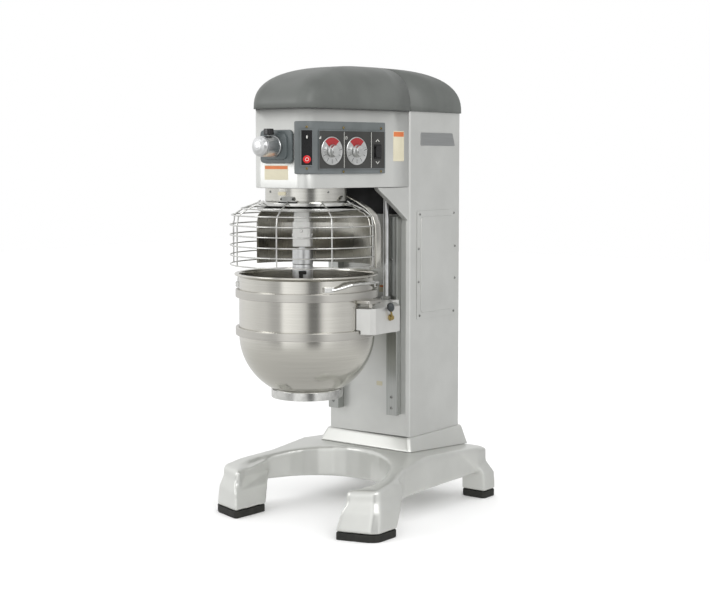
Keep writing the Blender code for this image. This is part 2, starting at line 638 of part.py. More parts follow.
def bowl_lift():
    screw_at = (LIFT_X, 0.060)
    drum("lift_screw", 0.012, 0.420, 1.020, STEEL, 16, centre=screw_at)
    motor = box("lift_motor", (LIFT_X - 0.060, 0.010, 1.0205), (LIFT_X + 0.060, 0.130, 1.082), IRON, 0.006)
    weld(motor, box("lift_motor_bracket", (-0.20385, 0.05, 1.03), (0.20385, 0.10, 1.05), IRON))
    nut = box("lift_nut", (LIFT_X - 0.030, 0.030, 0.780), (LIFT_X + 0.030, 0.090, 0.845), STEEL, 0.003)
    cut(nut, drum("nut_bore", 0.0124, 0.76, 0.86, STEEL, 16, centre=screw_at))
    weld(nut, box("nut_arm", (LIFT_X - 0.014, -0.0496, 0.790), (LIFT_X + 0.014, 0.035, 0.835), STEEL))
    drum("lift_rod", 0.011, 0.8626, 1.590, STEEL, 16, centre=LIFT_ROD)
    low, high = YOKE_Z
    half = [(0.0, -0.050), (0.1185, -0.050), (0.1185, -0.044), (0.192, -0.044), (0.192, -0.100)]
    half += [(0.262, -0.150), (0.333, -0.235), (0.333, -0.392), (0.320, -0.408), (0.262, -0.429)]
    half += [(0.200, -0.30), (0.110, -0.135), (0.0, -0.114)]
    right = [Vector(p) for p in half[1:-1]]
    left = [Vector((-p.x, p.y)) for p in reversed(right)]
    outline = [Vector(half[0])] + right + [Vector(half[-1])] + left
    yoke = slab("bowl_yoke", outline, low, high, PALE_PAINT)
    cut(yoke, drum("band_clearance", BAND_R + 0.0035, 0.70, LOWER_BAND[1] + 0.002, IRON, 48))
    cut(yoke, drum("bowl_clearance", BOWL_BODY_R + 0.0025, 0.70, 0.95, IRON, 48))
    for side, word in ((1, "right"), (-1, "left")):
        pivot = frame_at((side * 0.3334, -0.300, 0.822), (side, 0, 0))
        lever = drum(f"bowl_lock_{word}", 0.0125, 0.0, 0.016, STEEL, 12, pivot)
        path = [Vector((0, 0.004, 0.011)), Vector((-side * 0.012, 0.030, 0.013))]
        arm = rod(f"lever_arm_{word}", path, 0.0035, STEEL, 6)
        knob = frame_at((-side * 0.017, 0.042, 0.0155), (0.3, 1, 0))
        ball = drum(f"lever_ball_{word}", 0.0145, -0.014, 0.014, BLACK_PLASTIC, 10, knob)
        for piece in (arm, ball):
            piece.data.transform(pivot)
            weld(lever, piece)


def bowl():
    wall = 0.003
    profile = [(0.0, BOWL_TURN_Z - BOWL_DEPTH_BELOW)]
    inner = [(0.0, BOWL_TURN_Z - BOWL_DEPTH_BELOW + wall)]
    steps = 9
    for step in range(1, steps + 1):
        angle = math.pi / 2 * step / steps
        drop = BOWL_DEPTH_BELOW * math.cos(angle)
        profile.append((BOWL_BODY_R * math.sin(angle), BOWL_TURN_Z - drop))
        inner_drop = drop * (1 - wall / BOWL_DEPTH_BELOW)
        inner.append(((BOWL_BODY_R - wall) * math.sin(angle), BOWL_TURN_Z - inner_drop))
    profile += [(BOWL_BODY_R, 0.972), (0.284, 0.978), (0.284, BOWL_RIM_Z), (0.262, BOWL_RIM_Z)]
    inner += [(BOWL_BODY_R - wall, 0.976)]
    turned("bowl", profile + list(reversed(inner)), STAINLESS, steps=36)
    near = BOWL_BODY_R + GAP
    for name, (low, high) in (("bowl_band_upper", UPPER_BAND), ("bowl_band_lower", LOWER_BAND)):
        ring = [(near, low), (BAND_R - 0.002, low), (BAND_R, low + 0.003), (BAND_R, high - 0.003)]
        ring += [(BAND_R - 0.002, high), (near, high)]
        band = turned(name, ring, STAINLESS, steps=36)
        for side in (1, -1) if name == "bowl_band_upper" else ():
            ear = box(f"ear_{side}", (0.262, -0.430, low - 0.012), (0.328, -0.345, low + 0.001), STAINLESS)
            if side < 0:
                ear.data.transform(Matrix.Scale(-1, 4, (1, 0, 0)))
                ear.data.flip_normals()
            cut(ear, drum(f"ear_clearance_{side}", near + 0.0015, 0.80, 1.0, STAINLESS, 36))
            weld(band, ear)
    foot_high = BOWL_TURN_Z - BOWL_DEPTH_BELOW * math.sqrt(1 - (0.132 / BOWL_BODY_R) ** 2) - 0.002
    foot = [(0.132, FOOT_RING_Z), (FOOT_RING_R, FOOT_RING_Z)]
    foot += [(FOOT_RING_R, foot_high + 0.003), (0.132, foot_high - 0.001)]
    turned("bowl_foot_ring", foot, STAINLESS, steps=32)
    for side, word in ((1, "right"), (-1, "left")):
        stations = [(59, 0.277, 0.940), (62, 0.2775, 0.940), (67, 0.283, 0.946), (74, 0.297, 0.957)]
        stations += [(82, 0.304, 0.960), (90, 0.306, 0.960)]
        back = [(180 - a, r, z) for a, r, z in reversed(stations[:-1])]
        points = [polar(r, side * math.radians(a), z) for a, r, z in stations + back]
        rod(f"bowl_handle_{word}", points, 0.0065, STAINLESS)


# Bowl guard

CAGE_R = 0.2995
CAGE_ROWS = [(CAGE_R, 1.022), (CAGE_R, 1.059), (CAGE_R, 1.097), (CAGE_R, 1.137), (CAGE_R, 1.176)]
CAGE_ROWS += [(CAGE_R - 0.006, 1.214), (CAGE_R - 0.044, 1.2395)]
CAGE_POSTS = (98, 58, 17, -25, -62, -101)
WIRE = 0.006


def wire_cage():
    """Hoops and uprights welded into one lattice: a curved wall with a window between each pair of wires."""
    half = WIRE / 2
    outer = [(r + half, z) for r, z in CAGE_ROWS]
    inner = [(r - half, z) for r, z in reversed(CAGE_ROWS)]
    outer[0] = (CAGE_R + half, CAGE_ROWS[0][1] - half)
    inner[-1] = (CAGE_R - half, CAGE_ROWS[0][1] - half)
    outer[-1] = (CAGE_ROWS[-1][0], CAGE_ROWS[-1][1] + half)
    inner[0] = (CAGE_ROWS[-1][0], CAGE_ROWS[-1][1] - half)
    posts = [math.radians(azimuth) for azimuth in CAGE_POSTS]
    edge = half / CAGE_R
    cage = swept("wire_cage", outer + inner, posts[0] + edge, posts[-1] - edge, 26, STAINLESS)
    bm = bmesh.new()
    for start, end in zip(posts, posts[1:]):
        for (_, low), (_, high) in zip(CAGE_ROWS, CAGE_ROWS[1:]):
            profile = [(0.20, low + half), (0.36, low + half), (0.36, high - half), (0.20, high - half)]
            angles = [start - edge + (end - start + 2 * edge) * k / 3 for k in range(4)]
            rows = [[bm.verts.new(polar(r, angle, z)) for r, z in profile] for angle in angles]
            for here, after in zip(rows, rows[1:]):
                for i in range(4):
                    bm.faces.new((here[i], here[(i + 1) % 4], after[(i + 1) % 4], after[i]))
            bm.faces.new(rows[0])
            bm.faces.new(rows[-1])
    return cut(cage, add("cage_windows", bm, STAINLESS))


def guard():
    wire_cage()
    path = [(0.164, 1.297), (0.225, 1.266), (0.264, 1.244), (0.291, 1.218), (0.304, 1.182), (0.307, 1.140)]
    path += [(0.307, 1.013)]
    under = [(0.3035, 1.013), (0.3035, 1.140), (0.3008, 1.180), (0.2885, 1.214), (0.262, 1.240)]
    under += [(0.223, 1.2620), (0.164, 1.2925)]
    swept("guard_arm", path + under, math.radians(99), math.radians(108), 2, STAINLESS)
    shield = [(0.2900, 1.008), (0.2915, 1.008), (0.2915, 1.170), (0.2835, 1.204), (0.258, 1.2265)]
    shield += [(0.243, 1.2315), (0.212, 1.2501), (0.178, 1.2501), (0.178, 1.2486), (0.2117, 1.2486)]
    shield += [(0.2424, 1.2300), (0.2573, 1.2250), (0.2822, 1.2032), (0.2900, 1.170)]
    swept("splash_shield", shield, math.radians(96), math.radians(264), 20, STAINLESS)


base_casting()
foot_pads()
pedestal_collar()
column_shell()
access_panel()
guide_rails()
head_casing()
head_floor()
haunches()
top_covers()
attachment_hub()
controls()
neck()
ring_gear()
planetary()
drive()
bowl_lift()
bowl()
guard()
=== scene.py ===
"""Looks of a floor-standing planetary mixer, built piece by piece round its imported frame.

Metres, +Z up, the bowl and hub towards -Y, the controls towards +X. Places come from the frame's
own boxes, and each section adds one piece or one group of like pieces in the order of assembly.
"""

import math

import bmesh
import bpy
from mathutils import Matrix, Vector


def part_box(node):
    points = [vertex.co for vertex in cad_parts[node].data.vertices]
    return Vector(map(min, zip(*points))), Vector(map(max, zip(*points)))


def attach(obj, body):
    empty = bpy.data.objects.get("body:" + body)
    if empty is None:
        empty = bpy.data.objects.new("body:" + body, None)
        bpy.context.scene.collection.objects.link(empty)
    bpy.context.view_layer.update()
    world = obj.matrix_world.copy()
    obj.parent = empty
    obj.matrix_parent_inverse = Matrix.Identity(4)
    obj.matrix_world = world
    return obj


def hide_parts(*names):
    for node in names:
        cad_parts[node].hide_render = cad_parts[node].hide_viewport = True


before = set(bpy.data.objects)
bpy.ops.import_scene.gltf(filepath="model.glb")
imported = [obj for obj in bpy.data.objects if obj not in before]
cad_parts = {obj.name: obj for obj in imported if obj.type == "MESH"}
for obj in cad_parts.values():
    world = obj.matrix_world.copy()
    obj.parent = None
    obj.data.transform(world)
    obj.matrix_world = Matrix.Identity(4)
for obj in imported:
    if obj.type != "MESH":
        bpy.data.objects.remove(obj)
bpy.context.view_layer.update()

# ---------------------------------------------------------------------------------------------
# Base: one iron casting with two side beams, an arch for the bowl and four tapered feet. It is
# ground smooth along its edges and sprayed with a fine silver machine enamel.

EDGE_GRAIN = 0.0048
EDGE_PASSES = 16
SHOULDER_SWELL = 0.022
SWELL_FROM_Z = 0.06
SWELL_OVER_Z = 0.09
FRONT_LEG_Y = -0.10
REAR_LEG_Y = 0.36
LEG_OUTER_X = 0.30
LEG_INNER_X = 0.25
ENAMEL_FLECK_MM = 1.4
ENAMEL_CLOUD_MM = 160.0


def tone(code):
    """A linear colour from an sRGB hex value."""
    channels = [int(code[i : i + 2], 16) / 255 for i in (1, 3, 5)]
    return (*[c / 12.92 if c <= 0.04045 else ((c + 0.055) / 1.055) ** 2.4 for c in channels], 1.0)


def add_node(tree, kind, settings, inputs):
    """One node, with its settings, and each input given a value or linked to another node's output."""
    made = tree.nodes.new(kind)
    for name, value in settings.items():
        setattr(made, name, value)
    for name, value in inputs.items():
        if isinstance(value, bpy.types.NodeSocket):
            tree.links.new(value, made.inputs[name])
        else:
            made.inputs[name].default_value = value
    return made


def per_metre(millimetres):
    """A texture scale that gives features of this size."""
    return 1000.0 / millimetres


def new_finish(name, roughness, metallic, **sockets):
    """An empty finish: its material, its node tree, its shader and the object coordinates."""
    material = bpy.data.materials.new(name)
    material.use_nodes = True
    tree = material.node_tree
    shader = tree.nodes["Principled BSDF"]
    shader.inputs["Roughness"].default_value = roughness
    shader.inputs["Metallic"].default_value = metallic
    for socket, value in sockets.items():
        shader.inputs[socket.replace("_", " ")].default_value = value
    place = add_node(tree, "ShaderNodeTexCoord", {}, {}).outputs["Object"]
    return material, tree, shader, place


def speckle(tree, place, size_mm, detail=2.0):
    """Soft random variation with features of a real size."""
    settings = {"Scale": per_metre(size_mm), "Detail": detail, "Vector": place}
    return add_node(tree, "ShaderNodeTexNoise", {}, settings).outputs["Fac"]


def blend_tones(tree, factor, dark, light, low=0.35, high=0.65):
    """Two tones mixed where the factor runs from low to high."""
    ramp = add_node(tree, "ShaderNodeValToRGB", {}, {"Fac": factor})
    ramp.color_ramp.elements[0].position = low
    ramp.color_ramp.elements[0].color = tone(dark)
    ramp.color_ramp.elements[1].position = high
    ramp.color_ramp.elements[1].color = tone(light)
    return ramp.outputs["Color"]


def roughen(tree, shader, factor, low, high):
    """Lets the roughness follow a factor between two values."""
    spread = {"Value": factor, "To Min": low, "To Max": high}
    ranged = add_node(tree, "ShaderNodeMapRange", {}, spread)
    tree.links.new(ranged.outputs["Result"], shader.inputs["Roughness"])


def raise_grain(tree, shader, height, depth_mm, strength):
    """Raises a pattern from the surface by a depth."""
    settings = {"Height": height, "Distance": depth_mm / 1000, "Strength": strength}
    bump = add_node(tree, "ShaderNodeBump", {}, settings)
    tree.links.new(bump.outputs["Normal"], shader.inputs["Normal"])


def silver_enamel(name, dark, light, roughness=0.36):
    """Sprayed metallic enamel: fine flake, a soft cloudiness from the spray, and a satin clear skin."""
    material, tree, shader, place = new_finish(name, roughness, 0.62, Coat_Weight=0.18, Coat_Roughness=0.28)
    cloud = speckle(tree, place, ENAMEL_CLOUD_MM, 3.0)
    tree.links.new(blend_tones(tree, cloud, dark, light), shader.inputs["Base Color"])
    flake = speckle(tree, place, ENAMEL_FLECK_MM)
    roughen(tree, shader, flake, roughness - 0.04, roughness + 0.05)
    raise_grain(tree, shader, flake, 0.02, 0.10)
    return material


def cad_copy(node):
    """The frame's own shape of a node, merged, with its flat faces made whole again."""
    bm = bmesh.new()
    bm.from_mesh(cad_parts[node].data)
    bmesh.ops.remove_doubles(bm, verts=bm.verts, dist=1e-5)
    bmesh.ops.dissolve_limit(bm, angle_limit=math.radians(1.0), verts=bm.verts, edges=bm.edges)
    return bm


def ease(bm, edges, radius, segments=3):
    """Rounds edges to a radius."""
    settings = {"affect": "EDGES", "profile": 0.5, "material": -1, "clamp_overlap": True}
    bmesh.ops.bevel(bm, geom=edges, offset=radius, segments=segments, **settings)


def corners(bm, degrees=25.0):
    """The edges where two faces meet at more than an angle."""
    limit = math.radians(degrees)
    return [edge for edge in bm.edges if len(edge.link_faces) == 2 and edge.calc_face_angle() > limit]


def fit(name, bm, finishes, body, stands_for=(), crease=32.0):
    """Makes a bmesh a piece: merged, facing out, smooth up to the crease angle, and riding on its body."""
    bmesh.ops.remove_doubles(bm, verts=bm.verts, dist=1e-6)
    bmesh.ops.recalc_face_normals(bm, faces=bm.faces)
    mesh = bpy.data.meshes.new(name)
    bm.to_mesh(mesh)
    bm.free()
    for finish in finishes:
        mesh.materials.append(finish)
    mesh.shade_smooth()
    mesh.set_sharp_from_angle(angle=math.radians(crease))
    piece = bpy.data.objects.new(name, mesh)
    bpy.context.collection.objects.link(piece)
    if crease < 60:
        even_out = piece.modifiers.new("flat_faces", "WEIGHTED_NORMAL")
        even_out.keep_sharp = True
        even_out.weight = 90
    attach(piece, body)
    if stands_for:
        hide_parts(*stands_for)
    return piece


# Silver machine enamel, sprayed on sheet: a satin, faintly cloudy pale grey. On the casting it is
# laid thicker, so it looks smoother and a shade lighter.
SILVER = silver_enamel("silver_machine_enamel", "#c6c7c4", "#cdcecb")
CAST_SILVER = silver_enamel("silver_enamel_on_casting", "#c9cac6", "#d0d1cd", 0.31)

casting = cad_copy("base_casting")
for vert in casting.verts:
    rise = min(max((vert.co.z - SWELL_FROM_Z) / SWELL_OVER_Z, 0.0), 1.0)
    front = min(max((FRONT_LEG_Y - vert.co.y) / 0.12, 0.0), 1.0)
    back = min(max((vert.co.y - REAR_LEG_Y) / 0.08, 0.0), 1.0)
    if abs(vert.co.x) > LEG_OUTER_X:
        vert.co.x += math.copysign(SHOULDER_SWELL * rise * (front + back), vert.co.x)
    if -0.24 < vert.co.y < -0.14 and 0.05 < vert.co.z < 0.17 and abs(vert.co.x) > LEG_INNER_X:
        vert.co.y += SHOULDER_SWELL * 0.8

base = fit("base_body", casting, [CAST_SILVER], "machine", ["base_casting"], 180.0)
skin = base.modifiers.new("ground_edges", "REMESH")
skin.mode = "VOXEL"
skin.voxel_size = EDGE_GRAIN
skin.use_smooth_shade = True
rub = base.modifiers.new("fettled", "SMOOTH")
rub.factor = 0.5
rub.iterations = EDGE_PASSES

# ---------------------------------------------------------------------------------------------
# Foot pads: four moulded black rubber pads, one bolted up into the underside of each foot.
# Their upper edge stands a little proud of the casting.

PAD_CORNER = 0.016


def moulded_rubber(name):
    """Black rubber: nearly matt, with a fine grain from the mould and a dusting of grey."""
    material, tree, shader, place = new_finish(name, 0.7, 0.0)
    dust = speckle(tree, place, 22.0, 4.0)
    tree.links.new(blend_tones(tree, dust, "#161614", "#24241f"), shader.inputs["Base Color"])
    raise_grain(tree, shader, speckle(tree, place, 1.5), 0.1, 0.3)
    return material


# Moulded nitrile rubber: a matt near-black that shows only a soft light edge.
RUBBER = moulded_rubber("moulded_black_rubber")


def upright(bm, shortest=0.0):
    """The vertical edges of a shape that are longer than a length."""
    found = []
    for edge in bm.edges:
        along = edge.verts[1].co - edge.verts[0].co
        if abs(along.z) > 0.99 * along.length and along.length > shortest:
            found.append(edge)
    return found


for place in ("front_left", "front_right", "rear_left", "rear_right"):
    pad = cad_copy(f"foot_pad_{place}")
    ease(pad, upright(pad), PAD_CORNER, 5)
    ease(pad, corners(pad, 60), 0.003, 2)
    fit(f"rubber_foot_{place}", pad, [RUBBER], "machine", [f"foot_pad_{place}"])

# ---------------------------------------------------------------------------------------------
# Column: a folded sheet steel shell standing in a flared collar on the base, enamelled silver.
# Its corners are folded to a small radius and its seams are welded and dressed.

SHEET = 0.003
column_low, column_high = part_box("column_shell")
COLUMN_HALF = column_high.x
COLUMN_FRONT = column_low.y

collar = cad_copy("pedestal_collar")
ease(collar, corners(collar, 12), 0.004)
fit("collar_skirt", collar, [CAST_SILVER], "machine", ["pedestal_collar"])

column = cad_copy("column_shell")
ease(column, upright(column, 1.0), 0.0045, 4)
fit("column_sheet", column, [SILVER], "machine", ["column_shell"], 20.0)

# ---------------------------------------------------------------------------------------------
# Screws: small round-headed steel machine screws with a cross recess, and brass-washed ones on
# the controls. One mesh function serves every place where a sheet is screwed down.


def plated_metal(name, dark, light, roughness):
    """Plated or bare turned metal: fine random scratches and a slightly uneven polish."""
    material, tree, shader, place = new_finish(name, roughness, 1.0)
    wear = speckle(tree, place, 28.0, 3.0)
    tree.links.new(blend_tones(tree, wear, dark, light), shader.inputs["Base Color"])
    roughen(tree, shader, speckle(tree, place, 12.0, 3.0), roughness - 0.03, roughness + 0.04)
    return material


# Zinc plate is a dull mid grey; the brass wash on the control screws is a dull yellow.
ZINC = plated_metal("zinc_plated_steel", "#8d8e8b", "#a9aaa7", 0.34)
BRASS = plated_metal("brass_washed_steel", "#8e7b4a", "#b39d66", 0.36)


def facing(origin, outward):
    """A place whose +Z points outward and whose +Y is up."""
    z_axis = Vector(outward).normalized()
    x_axis = Vector((0, 0, 1)).cross(z_axis)
    x_axis = x_axis.normalized() if x_axis.length > 0.01 else Vector((1, 0, 0))
    turned = Matrix((x_axis, z_axis.cross(x_axis), z_axis)).transposed().to_4x4()
    return Matrix.Translation(origin) @ turned


def turn(profile, steps=64, closed=False):
    """A (radius, height) profile spun once round its own Z axis."""
    bm = bmesh.new()
    verts = [bm.verts.new((r, 0.0, z)) for r, z in profile]
    edges = [bm.edges.new(pair) for pair in zip(verts, verts[1:])]
    if closed:
        edges.append(bm.edges.new((verts[-1], verts[0])))
    around = {"cent": (0, 0, 0), "axis": (0, 0, 1), "dvec": (0, 0, 0), "angle": math.tau}
    bmesh.ops.spin(bm, geom=verts + edges, steps=steps, use_merge=True, **around)
    bmesh.ops.remove_doubles(bm, verts=bm.verts, dist=1e-6)
    return bm


def join(bm, part, place=None):
    """Adds one bmesh to another, at a place."""
    bmesh.ops.transform(part, matrix=place or Matrix(), verts=part.verts)
    carrier = bpy.data.meshes.new("carrier")
    part.to_mesh(carrier)
    part.free()
    bm.from_mesh(carrier)
    bpy.data.meshes.remove(carrier)


def paint(bm, index):
    """Gives every face of a shape one of its piece's finishes."""
    for face in bm.faces:
        face.material_index = index
    return bm


def block(width, depth, height, corner=0.0, edge=0.0, segments=5):
    """A block standing on z 0, with rounded corners in plan and eased edges."""
    bm = bmesh.new()
    size = Matrix.Diagonal((width, depth, height, 1.0))
    bmesh.ops.create_cube(bm, size=1.0, matrix=Matrix.Translation((0, 0, height / 2)) @ size)
    if corner:
        ease(bm, upright(bm), corner, segments)
    if edge:
        ease(bm, corners(bm, 50), edge, 2)
    return bm


def screw_head(radius):
    """A pan head with a cross recess."""
    profile = [(0, 0), (1, 0), (1, 0.25), (0.8, 0.5), (0, 0.62)]
    bm = turn([(radius * r, radius * z) for r, z in profile], 20)
    # The cross recess is not cut: a thin cross in the second finish, painted shade, sits in the dome.
    for angle in (0.4, 0.4 + math.pi / 2):
        slot = paint(block(radius * 1.3, radius * 0.26, 0.0004), 1)
        join(bm, slot, Matrix.Translation((0, 0, radius * 0.52)) @ Matrix.Rotation(angle, 4, "Z"))
    return bm


def screws(name, places, radius, finish, body="machine"):
    """Screw heads of one size at many places, as one piece."""
    bm = bmesh.new()
    for place in places:
        join(bm, screw_head(radius), place)
    return fit(name, bm, [finish, SHADOW], body)


def deep_shadow(name):
    """Painted shade for the dark inside of a slot or a joint: near black, faintly mottled."""
    material, tree, shader, place = new_finish(name, 0.6, 0.2)
    shade_mottle = speckle(tree, place, 5.0)
    tree.links.new(blend_tones(tree, shade_mottle, "#0e0e0d", "#1c1c1a"), shader.inputs["Base Color"])
    return material


# Painted shade: a near-black finish for what the eye finds in slots and under edges, where shade falls.
SHADOW = deep_shadow("painted_slot_shade")

# ---------------------------------------------------------------------------------------------
# Access panel: a pressed sheet cover with a raised field, closing the hatch on the control side
# of the column. Eight screws hold it, four down each edge.

PANEL_SCREW_ROWS = (0.015, 0.156, 0.292, 0.432)
PANEL_SCREW_INSET = (0.018, 0.010, 0.010, 0.018)
panel_low, panel_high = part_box("access_panel")
panel_middle = (panel_low + panel_high) / 2
panel_size = panel_high - panel_low
on_panel = facing((panel_low.x, panel_middle.y, panel_middle.z), (1, 0, 0))
panel = block(panel_size.y, panel_size.z, 0.0022, 0.006, 0.0006)
join(panel, block(panel_size.y - 0.050, panel_size.z - 0.052, 0.0058, 0.016, 0.0030, 6))
bmesh.ops.transform(panel, matrix=on_panel, verts=panel.verts)
fit("hatch_cover", panel, [SILVER], "machine", ["access_panel"])
places = []
for row, inset in zip(PANEL_SCREW_ROWS, PANEL_SCREW_INSET):
    for y in (panel_low.y + inset, panel_high.y - inset):
        places.append(facing((panel_low.x + 0.002, y, panel_high.z - row), (1, 0, 0)))
screws("hatch_screws", places, 0.0052, ZINC)

# ---------------------------------------------------------------------------------------------
# Guide rails: two ground steel ways screwed to the front of the column, which the bowl yoke
# slides on. Each has a shallow lip along its outer edge.


def brushed_steel(name, dark, light, roughness, grain):
    """Steel drawn or turned in one direction: grain gives the scratch size in mm along x, y and z."""
    material, tree, shader, place = new_finish(name, roughness, 1.0)
    scales = Vector([per_metre(size) for size in grain])
    settings = {"Vector": place, "Scale": scales}
    stretched = add_node(tree, "ShaderNodeMapping", {}, settings)
    fine = {"Scale": 1.0, "Detail": 6.0, "Roughness": 0.6, "Vector": stretched.outputs["Vector"]}
    scratches = add_node(tree, "ShaderNodeTexNoise", {}, fine).outputs["Fac"]
    tree.links.new(blend_tones(tree, scratches, dark, light, 0.3, 0.7), shader.inputs["Base Color"])
    roughen(tree, shader, scratches, roughness - 0.02, roughness + 0.04)
    raise_grain(tree, shader, scratches, 0.006, 0.04)
    return material


# Ground carbon steel, oiled: soft upright streaks of grey.
WAY_STEEL = brushed_steel("ground_way_steel", "#a9aba8", "#bbbdba", 0.30, (5.0, 5.0, 200.0))

for word in ("right", "left"):
    rail_low, rail_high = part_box(f"guide_rail_{word}")
    rail = cad_copy(f"guide_rail_{word}")
    ease(rail, corners(rail, 20), 0.0015, 2)
    fit(f"lift_way_{word}", rail, [WAY_STEEL], "machine", [f"guide_rail_{word}"])
    middle = (rail_low.x + rail_high.x) / 2
    places = []
    for z in (0.030, 0.075, 0.36, 0.64):
        places.append(facing((middle, rail_low.y, rail_low.z + z), (0, -1, 0)))
    screws(f"way_screws_{word}", places, 0.0060, ZINC)

# ---------------------------------------------------------------------------------------------
# Head casing: a deep sheet steel skirt with toed-in sides and rounded front corners, welded at
# its seams, dressed smooth and enamelled with the column. A dark floor closes it from below.

HEAD_CORNER = 0.060
HEAD_BREAK = 0.120
HEAD_TOE = Vector((-0.0655, -0.38)).normalized()
head_low, head_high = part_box("head_casing")
HEAD_OUT = Vector((-HEAD_TOE.y, HEAD_TOE.x))
HEAD_SHOULDER = Vector((head_high.x, COLUMN_FRONT - HEAD_BREAK))


def arc(centre, radius, start, end, steps):
    """Plan points along an arc, between two angles in degrees."""
    angles = [math.radians(start + (end - start) * i / steps) for i in range(steps + 1)]
    return [Vector((centre[0] + radius * math.cos(a), centre[1] + radius * math.sin(a))) for a in angles]


def head_plan(offset, back, steps=14):
    """The head's outline moved out by an offset, from its right rear end round the front to its left."""
    corner_y = head_low.y + HEAD_CORNER
    along = (corner_y - HEAD_SHOULDER.y) / HEAD_TOE.y
    corner_x = HEAD_SHOULDER.x + HEAD_TOE.x * along - HEAD_CORNER / HEAD_OUT.x
    turned = math.degrees(math.atan2(HEAD_OUT.y, HEAD_OUT.x))
    shoulder = HEAD_SHOULDER + HEAD_OUT * offset
    right = [Vector((COLUMN_HALF + offset, back)), shoulder]
    right += arc((corner_x, corner_y), HEAD_CORNER + offset, turned, -90, steps)
    return right + [Vector((-p.x, p.y)) for p in reversed(right)]


def chain(bm, points):
    """Joined edges through points, left open."""
    verts = [bm.verts.new(point) for point in points]
    return [bm.edges.new(pair) for pair in zip(verts, verts[1:])]


def draw_out(bm, edges, matrix):
    """Extrudes edges and moves the new ones; returns them."""
    made = bmesh.ops.extrude_edge_only(bm, edges=edges)["geom"]
    verts = [item for item in made if isinstance(item, bmesh.types.BMVert)]
    bmesh.ops.transform(bm, matrix=matrix, verts=verts)
    return [item for item in made if isinstance(item, bmesh.types.BMEdge)]


def thicken(piece, thickness, offset=-1.0):
    """Gives an open sheet its wall; offset -1 grows it inwards."""
    wall = piece.modifiers.new("wall", "SOLIDIFY")
    wall.thickness = thickness
    wall.offset = offset
    wall.use_even_offset = True
    return piece


LIP = 0.0035
skirt = bmesh.new()
hem = chain(skirt, [(p.x, p.y, head_low.z) for p in head_plan(-LIP, head_high.y)])
hem = draw_out(skirt, hem, Matrix())
for vert, point in zip([v for v in skirt.verts][len(skirt.verts) // 2 :], head_plan(-0.001, head_high.y)):
    vert.co = (point.x, point.y, head_low.z + 0.0010)
hem = draw_out(skirt, hem, Matrix())
for vert, point in zip([v for v in skirt.verts][2 * len(skirt.verts) // 3 :], head_plan(0.0, head_high.y)):
    vert.co = (point.x, point.y, head_low.z + LIP)
draw_out(skirt, hem, Matrix.Translation((0, 0, head_high.z - head_low.z - LIP)))
skirt_piece = fit("head_skirt", skirt, [SILVER], "machine", ["head_casing"], 24.0)
thicken(skirt_piece, SHEET)


def primed_sheet_and_shade(name):
    """Dark primed sheet iron inside the head and motor, also used as painted shade: matt, with a faint
    brushed-on streak.
    """
    material, tree, shader, place = new_finish(name, 0.62, 0.15)
    streak = speckle(tree, place, 30.0, 5.0)
    tree.links.new(blend_tones(tree, streak, "#1e1f20", "#2c2d2e"), shader.inputs["Base Color"])
    raise_grain(tree, shader, speckle(tree, place, 3.0), 0.1, 0.2)
    return material


def refinish(node, finish):
    """Gives a frame node that stays in view its finish."""
    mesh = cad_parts[node].data
    mesh.materials.clear()
    mesh.materials.append(finish)


# Primed sheet iron: a flat charcoal that drops back behind the bright parts. The same finish is the painted
# shade on the top of the column's front.
PRIMED_IRON_AND_SHADE = primed_sheet_and_shade("dark_primed_iron_and_painted_shade")
for node in ("head_floor", "drive_motor", "lift_motor"):
    refinish(node, PRIMED_IRON_AND_SHADE)

# Painted shade: a dark primed sheet on the top of the column's front, between the haunches, stands in for the
# shadow the head casts there.
shade = block(2 * COLUMN_HALF - 0.100, 0.0015, 0.112)
bmesh.ops.translate(shade, verts=shade.verts, vec=(0, COLUMN_FRONT - 0.0022, head_low.z - 0.113))
fit("column_front_painted_shade", shade, [PRIMED_IRON_AND_SHADE], "machine")

# ---------------------------------------------------------------------------------------------
# Haunches: the two pressed cheeks that carry the head's overhang down onto the column, each with
# a rounded outer edge.

for word in ("right", "left"):
    cheek = cad_copy(f"haunch_{word}")
    ease(cheek, corners(cheek, 35), 0.004)
    fit(f"head_cheek_{word}", cheek, [SILVER], "machine", [f"haunch_{word}"])

# ---------------------------------------------------------------------------------------------
# Top covers: two moulded grey plastic hoods that drop over the head and the column. They meet on a
# fine seam above the column's front and are held by screws from inside.

DOME_ROWS = 22
DOME_POWER = 2.6
HOOD_WALL = 0.004
HOOD_EAVE = 0.008


def moulded_plastic(name, dark, light, roughness, texture_mm=1.6, depth=0.06):
    """Moulded ABS: an even spark-eroded texture, a slight sheen on the crests, no metal in it."""
    material, tree, shader, place = new_finish(name, roughness, 0.0)
    shift = speckle(tree, place, 120.0, 3.0)
    tree.links.new(blend_tones(tree, shift, dark, light), shader.inputs["Base Color"])
    texture = speckle(tree, place, texture_mm)
    roughen(tree, shader, texture, roughness - 0.05, roughness + 0.07)
    raise_grain(tree, shader, texture, depth, 0.2)
    return material


# Textured moulded plastic: mid grey with broad soft lights.
HOOD_GREY = moulded_plastic("textured_grey_hood", "#565956", "#5f625f", 0.42)


